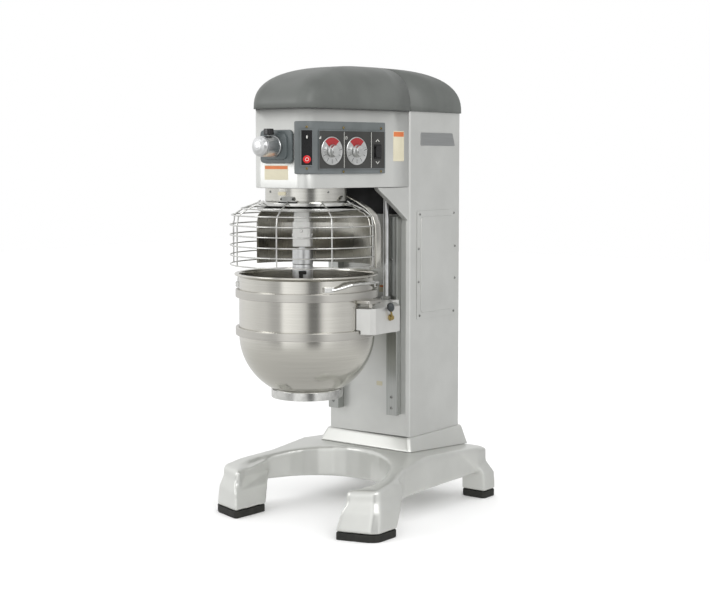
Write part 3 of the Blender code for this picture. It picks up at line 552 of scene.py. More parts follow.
def hood(name, outline, seam, node):
    """A dome drawn up from an outline: each row shrinks towards the seam along a superellipse."""
    low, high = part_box(node)
    bm = bmesh.new()
    edges = chain(bm, [(p.x, p.y, low.z) for p in outline])
    last_scale, last_rise = 1.0, 0.0
    for row in range(1, DOME_ROWS + 1):
        angle = math.pi / 2 * row / DOME_ROWS
        scale = max(math.cos(angle), 0.0) ** (2 / DOME_POWER)
        rise = (high.z - low.z) * math.sin(angle) ** (2 / DOME_POWER)
        about = Matrix.Translation((0, seam, low.z + rise))
        shrink = Matrix.Diagonal((max(scale / last_scale, 1e-4),) * 2 + (1.0, 1.0))
        edges = draw_out(bm, edges, about @ shrink @ Matrix.Translation((0, -seam, -low.z - last_rise)))
        last_scale, last_rise = max(scale, 1e-4), rise
    bmesh.ops.remove_doubles(bm, verts=bm.verts, dist=2e-5)
    piece = fit(name, bm, [HOOD_GREY], "machine", [node], 180.0)
    return thicken(piece, HOOD_WALL)


seam_gap = 0.0006
seam_y = COLUMN_FRONT - seam_gap
hood("front_hood", head_plan(HOOD_EAVE, seam_y, 18), seam_y, "top_cover_front")
rear_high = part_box("top_cover_rear")[1]
corner = 0.030
start = Vector((rear_high.x, COLUMN_FRONT + seam_gap))
right = [start, Vector((rear_high.x, rear_high.y - 0.12))]
right += arc((rear_high.x - corner, rear_high.y - corner), corner, 0, 90, 10)
hood("rear_hood", right + [Vector((-p.x, p.y)) for p in reversed(right)], start.y, "top_cover_rear")

# ---------------------------------------------------------------------------------------------
# Attachment hub: a moulded grey stepped mount on the front of the head, a polished steel barrel
# with a domed cap, and a black five-sided knob whose screw clamps an attachment.

hub_low, hub_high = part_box("hub_plate")
HUB_Z = (hub_low.z + hub_high.z) / 2
hub = facing((0, hub_high.y, HUB_Z), (0, -1, 0))
# The mount is a darker, smoother moulding; the turned steel barrel gives crisp satin bands.
MOUNT_GREY = moulded_plastic("satin_grey_mount", "#4b5253", "#555c5d", 0.36)
POLISHED = plated_metal("polished_turned_steel", "#cfd0d0", "#dedfe0", 0.30)

mount = block(hub_high.x - hub_low.x, hub_high.z - hub_low.z, 0.012, 0.016, 0.004)
join(mount, block(0.118, 0.100, 0.020, 0.022, 0.004), Matrix())
bmesh.ops.transform(mount, matrix=hub, verts=mount.verts)
fit("hub_mount", mount, [MOUNT_GREY], "machine", ["hub_plate"])


def softened(points, radius, steps=4, closed=False):
    """The same path with its corners turned to arcs, tighter where a side is short."""
    path = []
    count = len(points)
    for i, point in enumerate(points):
        here = Vector(point)
        ahead = Vector(points[(i + 1) % count]) - here
        behind = Vector(points[i - 1]) - here
        if (not closed and i in (0, count - 1)) or ahead.angle(behind) > math.radians(177):
            path.append(here)
            continue
        half = ahead.angle(behind) / 2
        reach = min(radius / math.tan(half), 0.45 * min(ahead.length, behind.length))
        first = here + behind.normalized() * reach
        last = here + ahead.normalized() * reach
        bisector = (ahead.normalized() + behind.normalized()).normalized()
        centre = here + bisector * (reach * math.tan(half) / math.sin(half))
        sweep = math.pi - 2 * half
        for k in range(steps + 1):
            near = math.sin((1 - k / steps) * sweep) / math.sin(sweep)
            far = math.sin(k / steps * sweep) / math.sin(sweep)
            path.append(centre + (first - centre) * near + (last - centre) * far)
    return path


barrel = [(0.0155, 0.0204), (0.0405, 0.0204), (0.0405, 0.030), (0.039, 0.032)]
barrel += [(0.039, 0.096), (0.0155, 0.096)]
bm = turn(softened(barrel, 0.0012, 2, True), 72, True)
bmesh.ops.transform(bm, matrix=hub, verts=bm.verts)
fit("hub_sleeve", bm, [POLISHED], "machine", ["hub_barrel"])
cap = [(0, 0.0964), (0.0385, 0.0964), (0.0385, 0.104), (0.030, 0.113)]
cap += [(0.016, 0.118), (0.006, 0.119), (0, 0.119)]
bm = turn(softened(cap, 0.006, 4), 72)
bmesh.ops.transform(bm, matrix=hub, verts=bm.verts)
fit("hub_domed_cap", bm, [POLISHED], "machine", ["hub_cap"])

# Glossy black phenolic: deep black with small sharp lights.
BLACK_KNOB = moulded_plastic("glossy_black_knob", "#0d0d0e", "#161617", 0.22, 3.0, 0.03)
screw_low, screw_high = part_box("hub_thumb_screw")
knob_height = 0.024
stem = turn([(0, screw_low.z), (0.0048, screw_low.z), (0.0048, screw_high.z), (0, screw_high.z)], 20)
grip = bmesh.new()
bmesh.ops.create_cone(grip, cap_ends=True, segments=5, radius1=0.0225, radius2=0.0215, depth=knob_height)
ease(grip, upright(grip) or corners(grip, 50), 0.007, 5)
ease(grip, corners(grip, 50), 0.0025, 2)
join(stem, paint(grip, 1), Matrix.Translation((0, 0, screw_high.z - knob_height / 2)))
bmesh.ops.transform(stem, matrix=Matrix.Translation((0, hub_high.y - 0.052, 0)), verts=stem.verts)
fit("hub_clamp_knob", stem, [ZINC, BLACK_KNOB], "hub_clamp", ["hub_thumb_screw"])

# ---------------------------------------------------------------------------------------------
# Control bezel: one moulded blue-grey frame that wraps from the side of the head round its front
# corner, with a shallow rounded edge. Brass-washed screws hold it above and below each panel.

# Blue-grey moulded plastic with a soft sheen; the dark foil on the panel is closer and flatter.
BEZEL_GREY = moulded_plastic("blue_grey_bezel", "#565b5b", "#616667", 0.38)
PANEL_BLACK = moulded_plastic("dark_panel_foil", "#2c2c2a", "#343432", 0.36, 2.5, 0.03)
bezel_low, bezel_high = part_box("control_bezel")
plate_low, plate_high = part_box("dial_plate")
speed_middle = sum(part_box("speed_dial"), Vector()) / 2
timer_middle = sum(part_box("timer_dial"), Vector()) / 2
SIDE_OUT = Vector((HEAD_OUT.x, HEAD_OUT.y, 0))
BEZEL_PROUD = 0.010


def on_side(along, height, out):
    """A place on the control side: along it from the speed dial towards the column, up, and out."""
    rearward = (timer_middle - speed_middle).normalized()
    return facing(speed_middle + rearward * along + Vector((0, 0, height)) + SIDE_OUT * out, SIDE_OUT)


bezel = bmesh.new()
outer = [p for p in head_plan(BEZEL_PROUD, 0.0, 18)[2:20]]
inner = [p for p in head_plan(0.0005, 0.0, 18)[2:20]]
rear = (bezel_high.y - HEAD_SHOULDER.y) / HEAD_TOE.y
for path, offset in ((outer, BEZEL_PROUD), (inner, 0.0005)):
    path.insert(0, HEAD_SHOULDER + HEAD_TOE * rear + HEAD_OUT * offset)
face = bezel.faces.new([bezel.verts.new((p.x, p.y, bezel_low.z)) for p in outer + list(reversed(inner))])
grown = bmesh.ops.extrude_face_region(bezel, geom=[face])["geom"]
tops = [item for item in grown if isinstance(item, bmesh.types.BMVert)]
bmesh.ops.translate(bezel, verts=tops, vec=(0, 0, bezel_high.z - bezel_low.z))
ends = [e for e in bezel.edges if e.calc_length() < 0.012 and abs(e.verts[0].co.z - e.verts[1].co.z) < 1e-6]
ease(bezel, ends, 0.011, 5)
ease(bezel, corners(bezel, 50), 0.0030, 3)
fit("panel_bezel", bezel, [BEZEL_GREY], "machine", ["control_bezel"])

# Dial panel: a black foil-faced plate with a thin raised border, a pale line between the two
# dials, and a small picture beside each: bars for speed and a clock for time.

plate_middle = (plate_low + plate_high) / 2
plate_width = (plate_high.y - plate_low.y) / abs(HEAD_TOE.y)
plate_height = plate_high.z - plate_low.z
on_plate = facing(plate_middle - SIDE_OUT * 0.0012, SIDE_OUT)
# White screen ink: flat, opaque and slightly warm.
PRINT_WHITE = moulded_plastic("white_screen_print", "#cfcfc9", "#dadad4", 0.5)


def framed(width, height, border, rise):
    """A plate with a raised border round a sunken field; the field takes the second finish."""
    bm = block(width, height, 0.0026 + rise, 0.005)
    top = [f for f in bm.faces if f.normal.z > 0.9]
    bmesh.ops.inset_region(bm, faces=top, thickness=border, use_even_offset=True)
    bmesh.ops.translate(bm, verts=list({v for f in top for v in f.verts}), vec=(0, 0, -rise))
    for face in top:
        face.material_index = 1
    ease(bm, [e for e in corners(bm, 50) if max(v.co.z for v in e.verts) > 0.0027], 0.0006, 2)
    return bm


panel = framed(plate_width, plate_height, 0.0035, 0.0014)
bmesh.ops.transform(panel, matrix=on_plate, verts=panel.verts)
fit("dial_foil", panel, [BEZEL_GREY, PANEL_BLACK], "machine", ["dial_plate"])

marks = bmesh.new()
ON_FOIL = -0.0013
rocker_middle = sum(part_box("bowl_rocker"), Vector()) / 2
rocker_along = (rocker_middle - speed_middle).dot((timer_middle - speed_middle).normalized())
rocker_up = rocker_middle.z - speed_middle.z
for along in (0.0645, rocker_along - 0.034):
    join(marks, block(0.0016, plate_height - 0.012, 0.0004), on_side(along, 0.004, ON_FOIL))
for up in (1, -1):
    for lean in (1, -1):
        arrow = on_side(rocker_along + lean * 0.0042, rocker_up + up * 0.043, ON_FOIL)
        join(marks, block(0.014, 0.0022, 0.0004), arrow @ Matrix.Rotation(-lean * up * 0.75, 4, "Z"))
for bar in range(3):
    tall = 0.004 + 0.003 * bar
    at_bar = on_side(-0.062 + 0.0035 * bar, 0.045 + tall / 2, ON_FOIL)
    join(marks, block(0.0022, tall, 0.0004), at_bar)
clock = turn([(0.0050, 0), (0.0062, 0), (0.0062, 0.0004), (0.0050, 0.0004)], 24, True)
clock_at = on_side(0.0755, 0.050, ON_FOIL)
join(marks, clock, clock_at)
join(marks, block(0.0010, 0.0040, 0.0004), clock_at @ Matrix.Translation((0, 0.002, 0)))
join(marks, block(0.0032, 0.0010, 0.0004), clock_at @ Matrix.Translation((0.0016, 0, 0)))
fit("panel_print", marks, [PRINT_WHITE], "machine")

# ---------------------------------------------------------------------------------------------
# Dials and knobs: spun aluminium rings with a dark red working sector and engraved ticks, and
# satin metal knobs, each with a raised pointer ridge across its top.

DIAL_R = (timer_middle - speed_middle).length * 0.42
# Spun aluminium: pale and silky. The red sector is baked enamel, a deep even red.
SPUN = plated_metal("spun_aluminium", "#c9cac9", "#d6d7d6", 0.30)
SECTOR_RED = moulded_plastic("dark_red_enamel", "#8e1a1e", "#9c1f23", 0.35, 2.5, 0.02)


def part_turn(profile, degrees, steps, closed=True):
    """A closed profile carried part of the way round, centred on +Y, with its ends filled."""
    bm = bmesh.new()
    verts = [bm.verts.new((r, 0.0, z)) for r, z in profile]
    geom = verts
    if closed:
        geom = [bm.faces.new(verts)]
    else:
        geom = verts + [bm.edges.new(pair) for pair in zip(verts, verts[1:])]
    angle = math.radians(degrees)
    around = {"cent": (0, 0, 0), "axis": (0, 0, 1), "dvec": (0, 0, 0), "angle": angle, "steps": steps}
    bmesh.ops.spin(bm, geom=geom, use_merge=False, **around)
    centred = Matrix.Rotation((math.pi - angle) / 2, 3, "Z")
    bmesh.ops.rotate(bm, verts=bm.verts, cent=(0, 0, 0), matrix=centred)
    return bm


for name, middle in (("speed", speed_middle), ("timer", timer_middle)):
    at = facing(middle - SIDE_OUT * 0.0012, SIDE_OUT)
    ring = [(0, 0), (DIAL_R, 0), (DIAL_R, 0.0022), (DIAL_R - 0.002, 0.0034)]
    ring += [(DIAL_R - 0.006, 0.0026), (0, 0.0026)]
    dial = turn(softened(ring, 0.0006, 2), 96)
    join(dial, paint(part_turn([(0.0200, 0), (0.0505, 0), (0.0505, 0.0031), (0.0200, 0.0031)], 88, 20), 1))
    # The engraved ticks are raised strips in painted shade.
    for degrees in (8, -24, -57, -90, -123, -156, 172):
        tick = Matrix.Rotation(math.radians(degrees), 4, "Z") @ Matrix.Translation((0.0400, 0, 0.0024))
        join(dial, paint(block(0.016, 0.0014, 0.0006), 2), tick)
    bmesh.ops.transform(dial, matrix=at, verts=dial.verts)
    fit(f"{name}_ring", dial, [SPUN, SECTOR_RED, SHADOW], "machine", [f"{name}_dial"])
    foot = [(0, 0.0034), (0.0255, 0.0034), (0.025, 0.008), (0.0235, 0.0115), (0.0215, 0.014), (0.0205, 0.026)]
    knob = turn(softened(foot + [(0, 0.0275)], 0.002, 3), 64)
    ridge = block(0.0125, 0.046, 0.0095, 0.004, 0.0018)
    join(knob, ridge, Matrix.Translation((0, 0.004, 0.0235)))
    # The pointer groove is a thin strip in painted shade.
    groove = Matrix.Translation((0, 0.016, 0.0327))
    join(knob, paint(block(0.0018, 0.016, 0.0006), 1), groove)
    bmesh.ops.transform(knob, matrix=at @ Matrix.Rotation(-1.30, 4, "Z"), verts=knob.verts)
    fit(f"{name}_grip", knob, [SPUN, SHADOW], f"{name}_control", [f"{name}_knob"])

# ---------------------------------------------------------------------------------------------
# Bowl rocker: a black moulded switch that tips up or down in its frame to raise or lower the
# bowl, dished at both ends.

# Black nylon switch moulding: nearly black, with a soft light along its ridge.
GLOSS_BLACK = moulded_plastic("black_switch_moulding", "#101011", "#1a1a1b", 0.25, 3.0, 0.02)
# The frame's sunken field round the paddle takes the painted shade.
frame_ring = framed(0.038, 0.058, 0.0035, 0.0015)
bmesh.ops.transform(frame_ring, matrix=on_side(rocker_along, rocker_up, -0.0022), verts=frame_ring.verts)
fit("rocker_frame", frame_ring, [GLOSS_BLACK, SHADOW], "machine")
rocker = block(0.026, 0.044, 0.010, 0.002)
everything = rocker.verts[:] + rocker.edges[:] + rocker.faces[:]
waist = bmesh.ops.bisect_plane(rocker, geom=everything, plane_no=(0, 1, 0))
cut = [item for item in waist["geom_cut"] if isinstance(item, bmesh.types.BMVert)]
bmesh.ops.translate(rocker, verts=[v for v in cut if v.co.z > 0.005], vec=(0, 0, -0.0030))
ease(rocker, corners(rocker, 12), 0.0008, 2)
bmesh.ops.transform(rocker, matrix=facing(rocker_middle - SIDE_OUT * 0.0035, SIDE_OUT), verts=rocker.verts)
fit("rocker_paddle", rocker, [GLOSS_BLACK], "rocker_control", ["bowl_rocker"])

# ---------------------------------------------------------------------------------------------
# Start and stop: a black plate in a framed recess on the rounded corner, with a small start button
# marked with a bar and a larger red stop button marked with a ring.

# Gloss red moulding: a saturated red with one small light.
STOP_RED = moulded_plastic("gloss_red_button", "#b3161b", "#c21b20", 0.22, 3.0, 0.02)
FACET_OUT = Vector((1, -1, 0)).normalized()
panel_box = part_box("start_stop_panel")
facet_middle = (panel_box[0] + panel_box[1]) / 2
start_middle = sum(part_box("start_button"), Vector()) / 2
stop_middle = sum(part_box("stop_button"), Vector()) / 2
strip = framed(0.050, panel_box[1].z - panel_box[0].z, 0.0045, 0.0014)
bmesh.ops.transform(strip, matrix=facing(facet_middle - FACET_OUT * 0.0015, FACET_OUT), verts=strip.verts)
fit("start_stop_strip", strip, [BEZEL_GREY, GLOSS_BLACK], "machine", ["start_stop_panel"])
cap = turn(softened([(0, -0.004), (0.008, -0.004), (0.008, 0.0030), (0, 0.0034)], 0.0015, 3), 36)
join(cap, paint(block(0.0042, 0.0105, 0.0007, 0.001), 1), Matrix.Translation((0, 0, 0.0031)))
bmesh.ops.transform(cap, matrix=facing(start_middle, FACET_OUT), verts=cap.verts)
fit("start_push", cap, [GLOSS_BLACK, PRINT_WHITE], "start_control", ["start_button"])
cap = turn(softened([(0, -0.004), (0.015, -0.004), (0.015, 0.0030), (0, 0.0050)], 0.0020, 3), 48)
mark = paint(turn([(0.0052, 0), (0.0068, 0), (0.0068, 0.0008), (0.0052, 0.0008)], 32, True), 1)
join(cap, mark, Matrix.Translation((0, 0, 0.0042)))
bmesh.ops.transform(cap, matrix=facing(stop_middle, FACET_OUT), verts=cap.verts)
fit("stop_push", cap, [STOP_RED, PRINT_WHITE], "stop_control", ["stop_button"])

half_panel = (panel_box[1].z - panel_box[0].z) / 2 + 0.008
places = []
for z in (half_panel, -half_panel):
    places.append(facing(facet_middle + Vector((0, 0, z)) - FACET_OUT * 0.0018, FACET_OUT))
for along in (0.0627, 0.262):
    places.append(on_side(along, plate_height / 2 + 0.0135, -0.0030))
    places.append(on_side(along, -plate_height / 2 - 0.0045, -0.0030))
screws("bezel_screws", places, 0.0046, BRASS)

# ---------------------------------------------------------------------------------------------
# Blank labels and badge: stuck-on film labels with an orange heading, left unprinted, and a plain
# brushed aluminium badge plate on the side of the column.

# Printed polyester film: satin cream, with an orange heading.
LABEL_CREAM = moulded_plastic("cream_label_film", "#bdb79f", "#c8c2ab", 0.45)
LABEL_ORANGE = moulded_plastic("orange_label_film", "#b9612f", "#c96f3a", 0.45)


def label(name, width, height, place, heading=0.22):
    """A thin film label with rounded corners and a coloured heading band."""
    bm = block(width, height, 0.0005, 0.003)
    band = paint(block(width - 0.005, height * heading, 0.0003), 1)
    join(bm, band, Matrix.Translation((0, height * (0.5 - heading / 2) - 0.003, 0.0004)))
    bmesh.ops.transform(bm, matrix=place, verts=bm.verts)
    return fit(name, bm, [LABEL_CREAM, LABEL_ORANGE], "machine")


label("hub_label", 0.118, 0.056, facing((-0.008, head_low.y, head_low.z + 0.0605), (0, -1, 0)))
side_out = Vector((1, (HEAD_SHOULDER.x - COLUMN_HALF) / HEAD_BREAK, 0))
label_y = COLUMN_FRONT - 0.075
label_x = COLUMN_HALF + (COLUMN_FRONT - label_y) * side_out.y
label("side_label", 0.078, 0.120, facing((label_x, label_y, head_low.z + 0.163), side_out), 0.16)
label("column_label", 0.050, 0.030, facing((0.085, COLUMN_FRONT, head_low.z - 0.42), (0, -1, 0)))
# Brushed aluminium: a cool grey, streaked lengthways.
BADGE = brushed_steel("brushed_badge_aluminium", "#b3b5b5", "#c0c2c2", 0.32, (5.0, 200.0, 5.0))
badge_middle = Vector((column_high.x, COLUMN_FRONT + 0.204, column_high.z - 0.111))
badge = block(0.242, 0.053, 0.0020)
for vert in badge.verts:
    vert.co.x -= 0.010 * (1 if vert.co.y > 0 else -1) * (1 if vert.co.x > 0 else 0)
ease(badge, upright(badge), 0.006, 4)
ease(badge, corners(badge, 50), 0.0006, 2)
bmesh.ops.transform(badge, matrix=facing(badge_middle, (1, 0, 0)), verts=badge.verts)
fit("side_badge", badge, [BADGE], "machine")

# ---------------------------------------------------------------------------------------------
# Neck: a turned and polished drum below the head that carries the ring gear, with a machined
# track round its foot for the guard, and a clamp block with a dark screw at its front.

neck_low, neck_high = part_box("neck_housing")
AXIS = Vector((0, (neck_low.y + neck_high.y) / 2, 0))
ON_AXIS = Matrix.Translation(AXIS)
NECK_R = neck_high.x
# Fine-turned steel: upright light and dark bands, broken by hair-fine rings.
TURNED = brushed_steel("turned_neck_steel", "#c4c3bd", "#cecdc7", 0.18, (200.0, 200.0, 5.0))


def round_piece(name, profile, finish, body, stands_for=(), slot=None, steps=128, closed=True, centre=None):
    """A turned piece standing on the bowl's axis, or on another."""
    bm = turn(profile, steps, closed)
    bmesh.ops.transform(bm, matrix=Matrix.Translation(centre or AXIS), verts=bm.verts)
    return fit(name, bm, [finish], body, stands_for)


drum_top = head_low.z + 0.004
drum = [(0.1495, neck_low.z), (NECK_R, neck_low.z), (NECK_R, drum_top), (0.1495, drum_top)]
round_piece("neck_drum", softened(drum, 0.0015, 3, True), TURNED, "machine", ["neck_housing"], "silver_paint")
track_low, track_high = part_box("guard_track")
track = [(0.165, track_low.z), (0.189, track_low.z), (0.189, track_high.z - 0.004)]
track += [(0.172, track_high.z), (0.156, track_high.z)]
# Bright-ground stainless bar and ring: near-white lights with dark edges.
BRIGHT = plated_metal("bright_ground_steel", "#c4c4c1", "#d8d8d5", 0.18)
round_piece("guard_way", softened(track, 0.0012, 2, True), BRIGHT, "machine", ["guard_track"], "silver_paint")


def around(radius, degrees, z):
    """A point round the bowl's axis: 0 degrees is the front, and it turns towards the control side."""
    angle = math.radians(degrees)
    return Vector((radius * math.sin(angle), AXIS.y - radius * math.cos(angle), z))


def facing_out(radius, degrees, z):
    """A place on a drum round the bowl's axis, facing away from it."""
    point = around(radius, degrees, z)
    return facing(point, (point - AXIS).xy.to_3d())


clamp = bmesh.new()
join(clamp, block(0.052, 0.018, 0.016, 0.003, 0.002), facing_out(NECK_R - 0.002, 14, neck_low.z + 0.010))
join(clamp, block(0.082, 0.005, 0.022, 0.002, 0.001), facing_out(NECK_R - 0.002, 14, neck_low.z + 0.0015))
# The two screw heads take the near-black painted-shade finish whole.
for degrees in (6, 22):
    join(clamp, paint(screw_head(0.0045), 1), facing_out(NECK_R + 0.0135, degrees, neck_low.z + 0.010))
fit("guard_clamp", clamp, [ZINC, SHADOW], "machine")
places = [facing_out(NECK_R, degrees, head_low.z - 0.014) for degrees in (-20, 70, 160, 250)]
screws("neck_screws", places, 0.0045, ZINC)
label("neck_label", 0.036, 0.014, facing_out(NECK_R + 0.0006, 4, head_low.z - 0.020), 0.001)
label("front_label", 0.030, 0.018, facing((0.062, COLUMN_FRONT - 0.0004, 0.512), (0, -1, 0)), 0.001)

# ---------------------------------------------------------------------------------------------
# Planetary head: a ground flange that turns under the neck, with a cast block to one side for the
# agitator shaft. The shaft is polished, and has bayonet slots cut up from its end.

# Pale enamel on a rough casting: an even light grey with soft edges.
CAST_BLOCK = silver_enamel("pale_enamel_on_casting", "#c6c6c3", "#d2d2cf", 0.38)
flange_low, flange_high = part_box("planetary_head")
pinion_low, pinion_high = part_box("planet_pinion")
SPINDLE = Vector(((pinion_low.x + pinion_high.x) / 2, (pinion_low.y + pinion_high.y) / 2, 0))
rim_z = flange_high.z - 0.064
flange = [(0, rim_z), (0.180, rim_z), (0.194, rim_z + 0.003), (0.194, rim_z + 0.014), (0.160, rim_z + 0.018)]
flange += [(0.146, rim_z + 0.036), (0.146, rim_z + 0.064), (0, rim_z + 0.064)]
head = turn(softened(flange, 0.002, 3), 128)
bmesh.ops.transform(head, matrix=ON_AXIS, verts=head.verts)
to_spindle = Matrix.Rotation(math.atan2(SPINDLE.x, AXIS.y - SPINDLE.y), 4, "Z")
at_spindle = Matrix.Translation(SPINDLE) @ to_spindle
body = paint(block(0.072, 0.068, rim_z - flange_low.z - 0.036, 0.014, 0.005), 1)
join(head, body, at_spindle @ Matrix.Translation((0, 0.002, flange_low.z)))
neck_block = paint(block(0.062, 0.060, 0.044, 0.012, 0.002), 1)
join(head, neck_block, at_spindle @ Matrix.Translation((0, 0.001, rim_z - 0.043)))
for side in (1, -1):
    boss = paint(turn(softened([(0, 0), (0.013, 0), (0.013, 0.004), (0, 0.005)], 0.0012, 2), 32), 0)
    join(head, boss, at_spindle @ facing((side * 0.036, 0, flange_low.z + 0.045), (side, 0, 0)))
join(head, paint(screw_head(0.006), 0), at_spindle @ facing((0, -0.032, flange_low.z + 0.062), (0, -1, 0)))
fit("planet_flange", head, [BRIGHT, CAST_BLOCK], "planetary", ["planetary_head"])

shaft_low, shaft_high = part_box("agitator_shaft")
shaft = [(0, shaft_low.z), (0.034, shaft_low.z), (0.040, shaft_low.z + 0.006), (0.040, shaft_low.z + 0.058)]
shaft += [(0.0385, shaft_low.z + 0.060), (0.0385, shaft_low.z + 0.064), (0.040, shaft_low.z + 0.066)]
shaft += [(0.040, shaft_low.z + 0.124), (0.0144, shaft_low.z + 0.1245)]
shaft += [(0.0144, shaft_high.z), (0, shaft_high.z)]
spindle = turn(softened(shaft, 0.0015, 2), 64)
# The bayonet slots are not cut: thin blocks in painted shade lie on the shaft.
for side in (1, -1):
    slot = paint(block(0.016, 0.030, 0.0006, 0.004), 1)
    join(spindle, slot, to_spindle @ facing((0, -side * 0.0398, shaft_low.z + 0.021), (0, -side, 0)))
    slot = paint(block(0.030, 0.014, 0.0030, 0.003), 1)
    hook = (side * 0.006, -side * 0.0375, shaft_low.z + 0.034)
    join(spindle, slot, to_spindle @ facing(hook, (0, -side, 0)))
bmesh.ops.transform(spindle, matrix=Matrix.Translation(SPINDLE), verts=spindle.verts)
fit("agitator_spindle", spindle, [POLISHED, SHADOW], "agitator", ["agitator_shaft"])

# Gears, pulleys, shafts and belt inside the head and column keep the frame's shapes, in machined
# steel and rubber.

# Oiled machined steel: a darker grey with a wet look.
MACHINED = plated_metal("oiled_machined_steel", "#6b6b69", "#8a8a88", 0.32)
inner_steel = ["ring_gear", "planet_pinion", "planetary_shaft", "driven_pulley"]
inner_steel += ["motor_pulley", "motor_shaft"]
for node in inner_steel + ["lift_screw", "lift_nut", "hub_drive_shaft"]:
    refinish(node, MACHINED)
refinish("drive_belt", RUBBER)

# ---------------------------------------------------------------------------------------------
# Bowl yoke: a pale enamelled casting whose two arms reach round the bowl and carry it. It slides
# on the guide rails, hung from a polished lift rod.

yoke_low, yoke_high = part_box("bowl_yoke")
yoke = cad_copy("bowl_yoke")
ease(yoke, corners(yoke, 30), 0.0045, 3)
fit("lift_yoke", yoke, [CAST_BLOCK], "lift", ["bowl_yoke"])
rod_low, rod_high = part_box("lift_rod")
rod_middle = Vector(((rod_low.x + rod_high.x) / 2, (rod_low.y + rod_high.y) / 2, 0))
rod = softened([(0, rod_low.z), (0.011, rod_low.z), (0.011, rod_high.z), (0, rod_high.z)], 0.002, 2)
round_piece("lift_bar", rod, POLISHED, "lift", ["lift_rod"], "polished_steel", 40, False, rod_middle)
nut = bmesh.new()
bmesh.ops.create_cone(nut, cap_ends=True, segments=6, radius1=0.020, radius2=0.020, depth=0.014)
ease(nut, corners(nut, 50), 0.001, 2)
bmesh.ops.translate(nut, verts=nut.verts, vec=rod_middle + Vector((0, 0, yoke_high.z + 0.0072)))
fit("lift_bar_nut", nut, [ZINC], "lift")
for word, side in (("right", 1), ("left", -1)):
    buffer = [(0, 0), (0.016, 0), (0.016, 0.020), (0.010, 0.022), (0, 0.022)]
    centre = Vector((side * 0.225, yoke_high.y - 0.085, yoke_low.z - 0.0215))
    turned_buffer = softened(buffer, 0.002, 2)
    more = {"steps": 40, "closed": False, "centre": centre}
    round_piece(f"yoke_buffer_{word}", turned_buffer, POLISHED, "lift", **more)

# ---------------------------------------------------------------------------------------------
# Bowl locks: a brass stem and hexagon on each yoke arm, turned by a short lever that ends in a
# dark grey oval knob.

# Dark grey phenolic ball: satin, with one round light.
KNOB_GREY = moulded_plastic("dark_grey_lever_knob", "#2b2f31", "#35393b", 0.30)
for word, side in (("right", 1), ("left", -1)):
    lock_low, lock_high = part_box(f"bowl_lock_{word}")
    pivot_x = lock_low.x if side > 0 else lock_high.x
    pivot = facing((pivot_x, AXIS.y + 0.098, yoke_low.z + 0.059), (side, 0, 0))
    lever = turn(softened([(0, 0), (0.0125, 0), (0.0125, 0.004), (0.008, 0.006), (0, 0.006)], 0.001, 2), 32)
    hexagon = bmesh.new()
    bmesh.ops.create_cone(hexagon, cap_ends=True, segments=6, radius1=0.0100, radius2=0.0100, depth=0.008)
    ease(hexagon, corners(hexagon, 50), 0.0008, 2)
    join(lever, hexagon, Matrix.Translation((0, 0, 0.010)))
    stem = turn(softened([(0, 0), (0.0036, 0), (0.0036, 0.046), (0, 0.046)], 0.0008, 2), 20)
    knob_at = Vector((-side * 0.017, 0.042, 0.0155))
    lean = Vector((knob_at.x, knob_at.y, 0.002)).to_track_quat("Z", "Y").to_matrix().to_4x4()
    join(lever, stem, Matrix.Translation((0, 0, 0.011)) @ lean)
    oval = []
    for step in range(13):
        angle = math.pi * step / 12
        oval.append((0.0145 * math.sin(angle) ** 0.8, -0.018 * math.cos(angle)))
    join(lever, paint(turn(oval, 32), 1), Matrix.Translation(knob_at) @ lean)
    bmesh.ops.transform(lever, matrix=pivot, verts=lever.verts)
    lever_finishes = [BRASS, KNOB_GREY]
    fit(f"lock_lever_{word}", lever, lever_finishes, f"lock_{word}", [f"bowl_lock_{word}"])

# ---------------------------------------------------------------------------------------------
# Bowl: spun from stainless sheet and brushed round, with a rolled rim, two reinforcing bands, a
# pair of lugs that seat on the yoke, and a foot ring that keeps it upright on its truck.

BOWL_R = 0.266
BOWL_WALL = 0.003
RIM_BEAD = 0.0045
bowl_low, bowl_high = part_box("bowl")
band_low, band_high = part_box("bowl_band_lower")
# Stainless steel brushed round: broad upright bands of light with fine level scratches.
STAINLESS = brushed_steel("brushed_stainless_bowl", "#cbc9c2", "#d3d1ca", 0.17, (260.0, 260.0, 5.0))
turn_z = band_low.z - 0.001
depth = turn_z - bowl_low.z


def bowl_curve(radius, drop, steps=30):
    """A quarter ellipse from the bottom of the bowl to where its side becomes straight."""
    points = []
    for step in range(steps + 1):
        angle = math.pi / 2 * step / steps
        points.append((radius * math.sin(angle), turn_z - drop * math.cos(angle)))
    return points


outside = bowl_curve(BOWL_R, depth)
outside += [(BOWL_R, bowl_high.z - 0.016), (BOWL_R + 0.006, bowl_high.z - 0.0095)]
bead = arc((bowl_high.x - RIM_BEAD, bowl_high.z - RIM_BEAD), RIM_BEAD, -90, 90, 8)
outside += [(p.x, p.y) for p in bead]
inside = [(BOWL_R + 0.001, bowl_high.z - 0.0015), (BOWL_R - BOWL_WALL, bowl_high.z - 0.012)]
inside += list(reversed(bowl_curve(BOWL_R - BOWL_WALL, depth - BOWL_WALL)))
round_piece("bowl_shell", outside + inside, STAINLESS, "lift", ["bowl"], "stainless", 144, False)

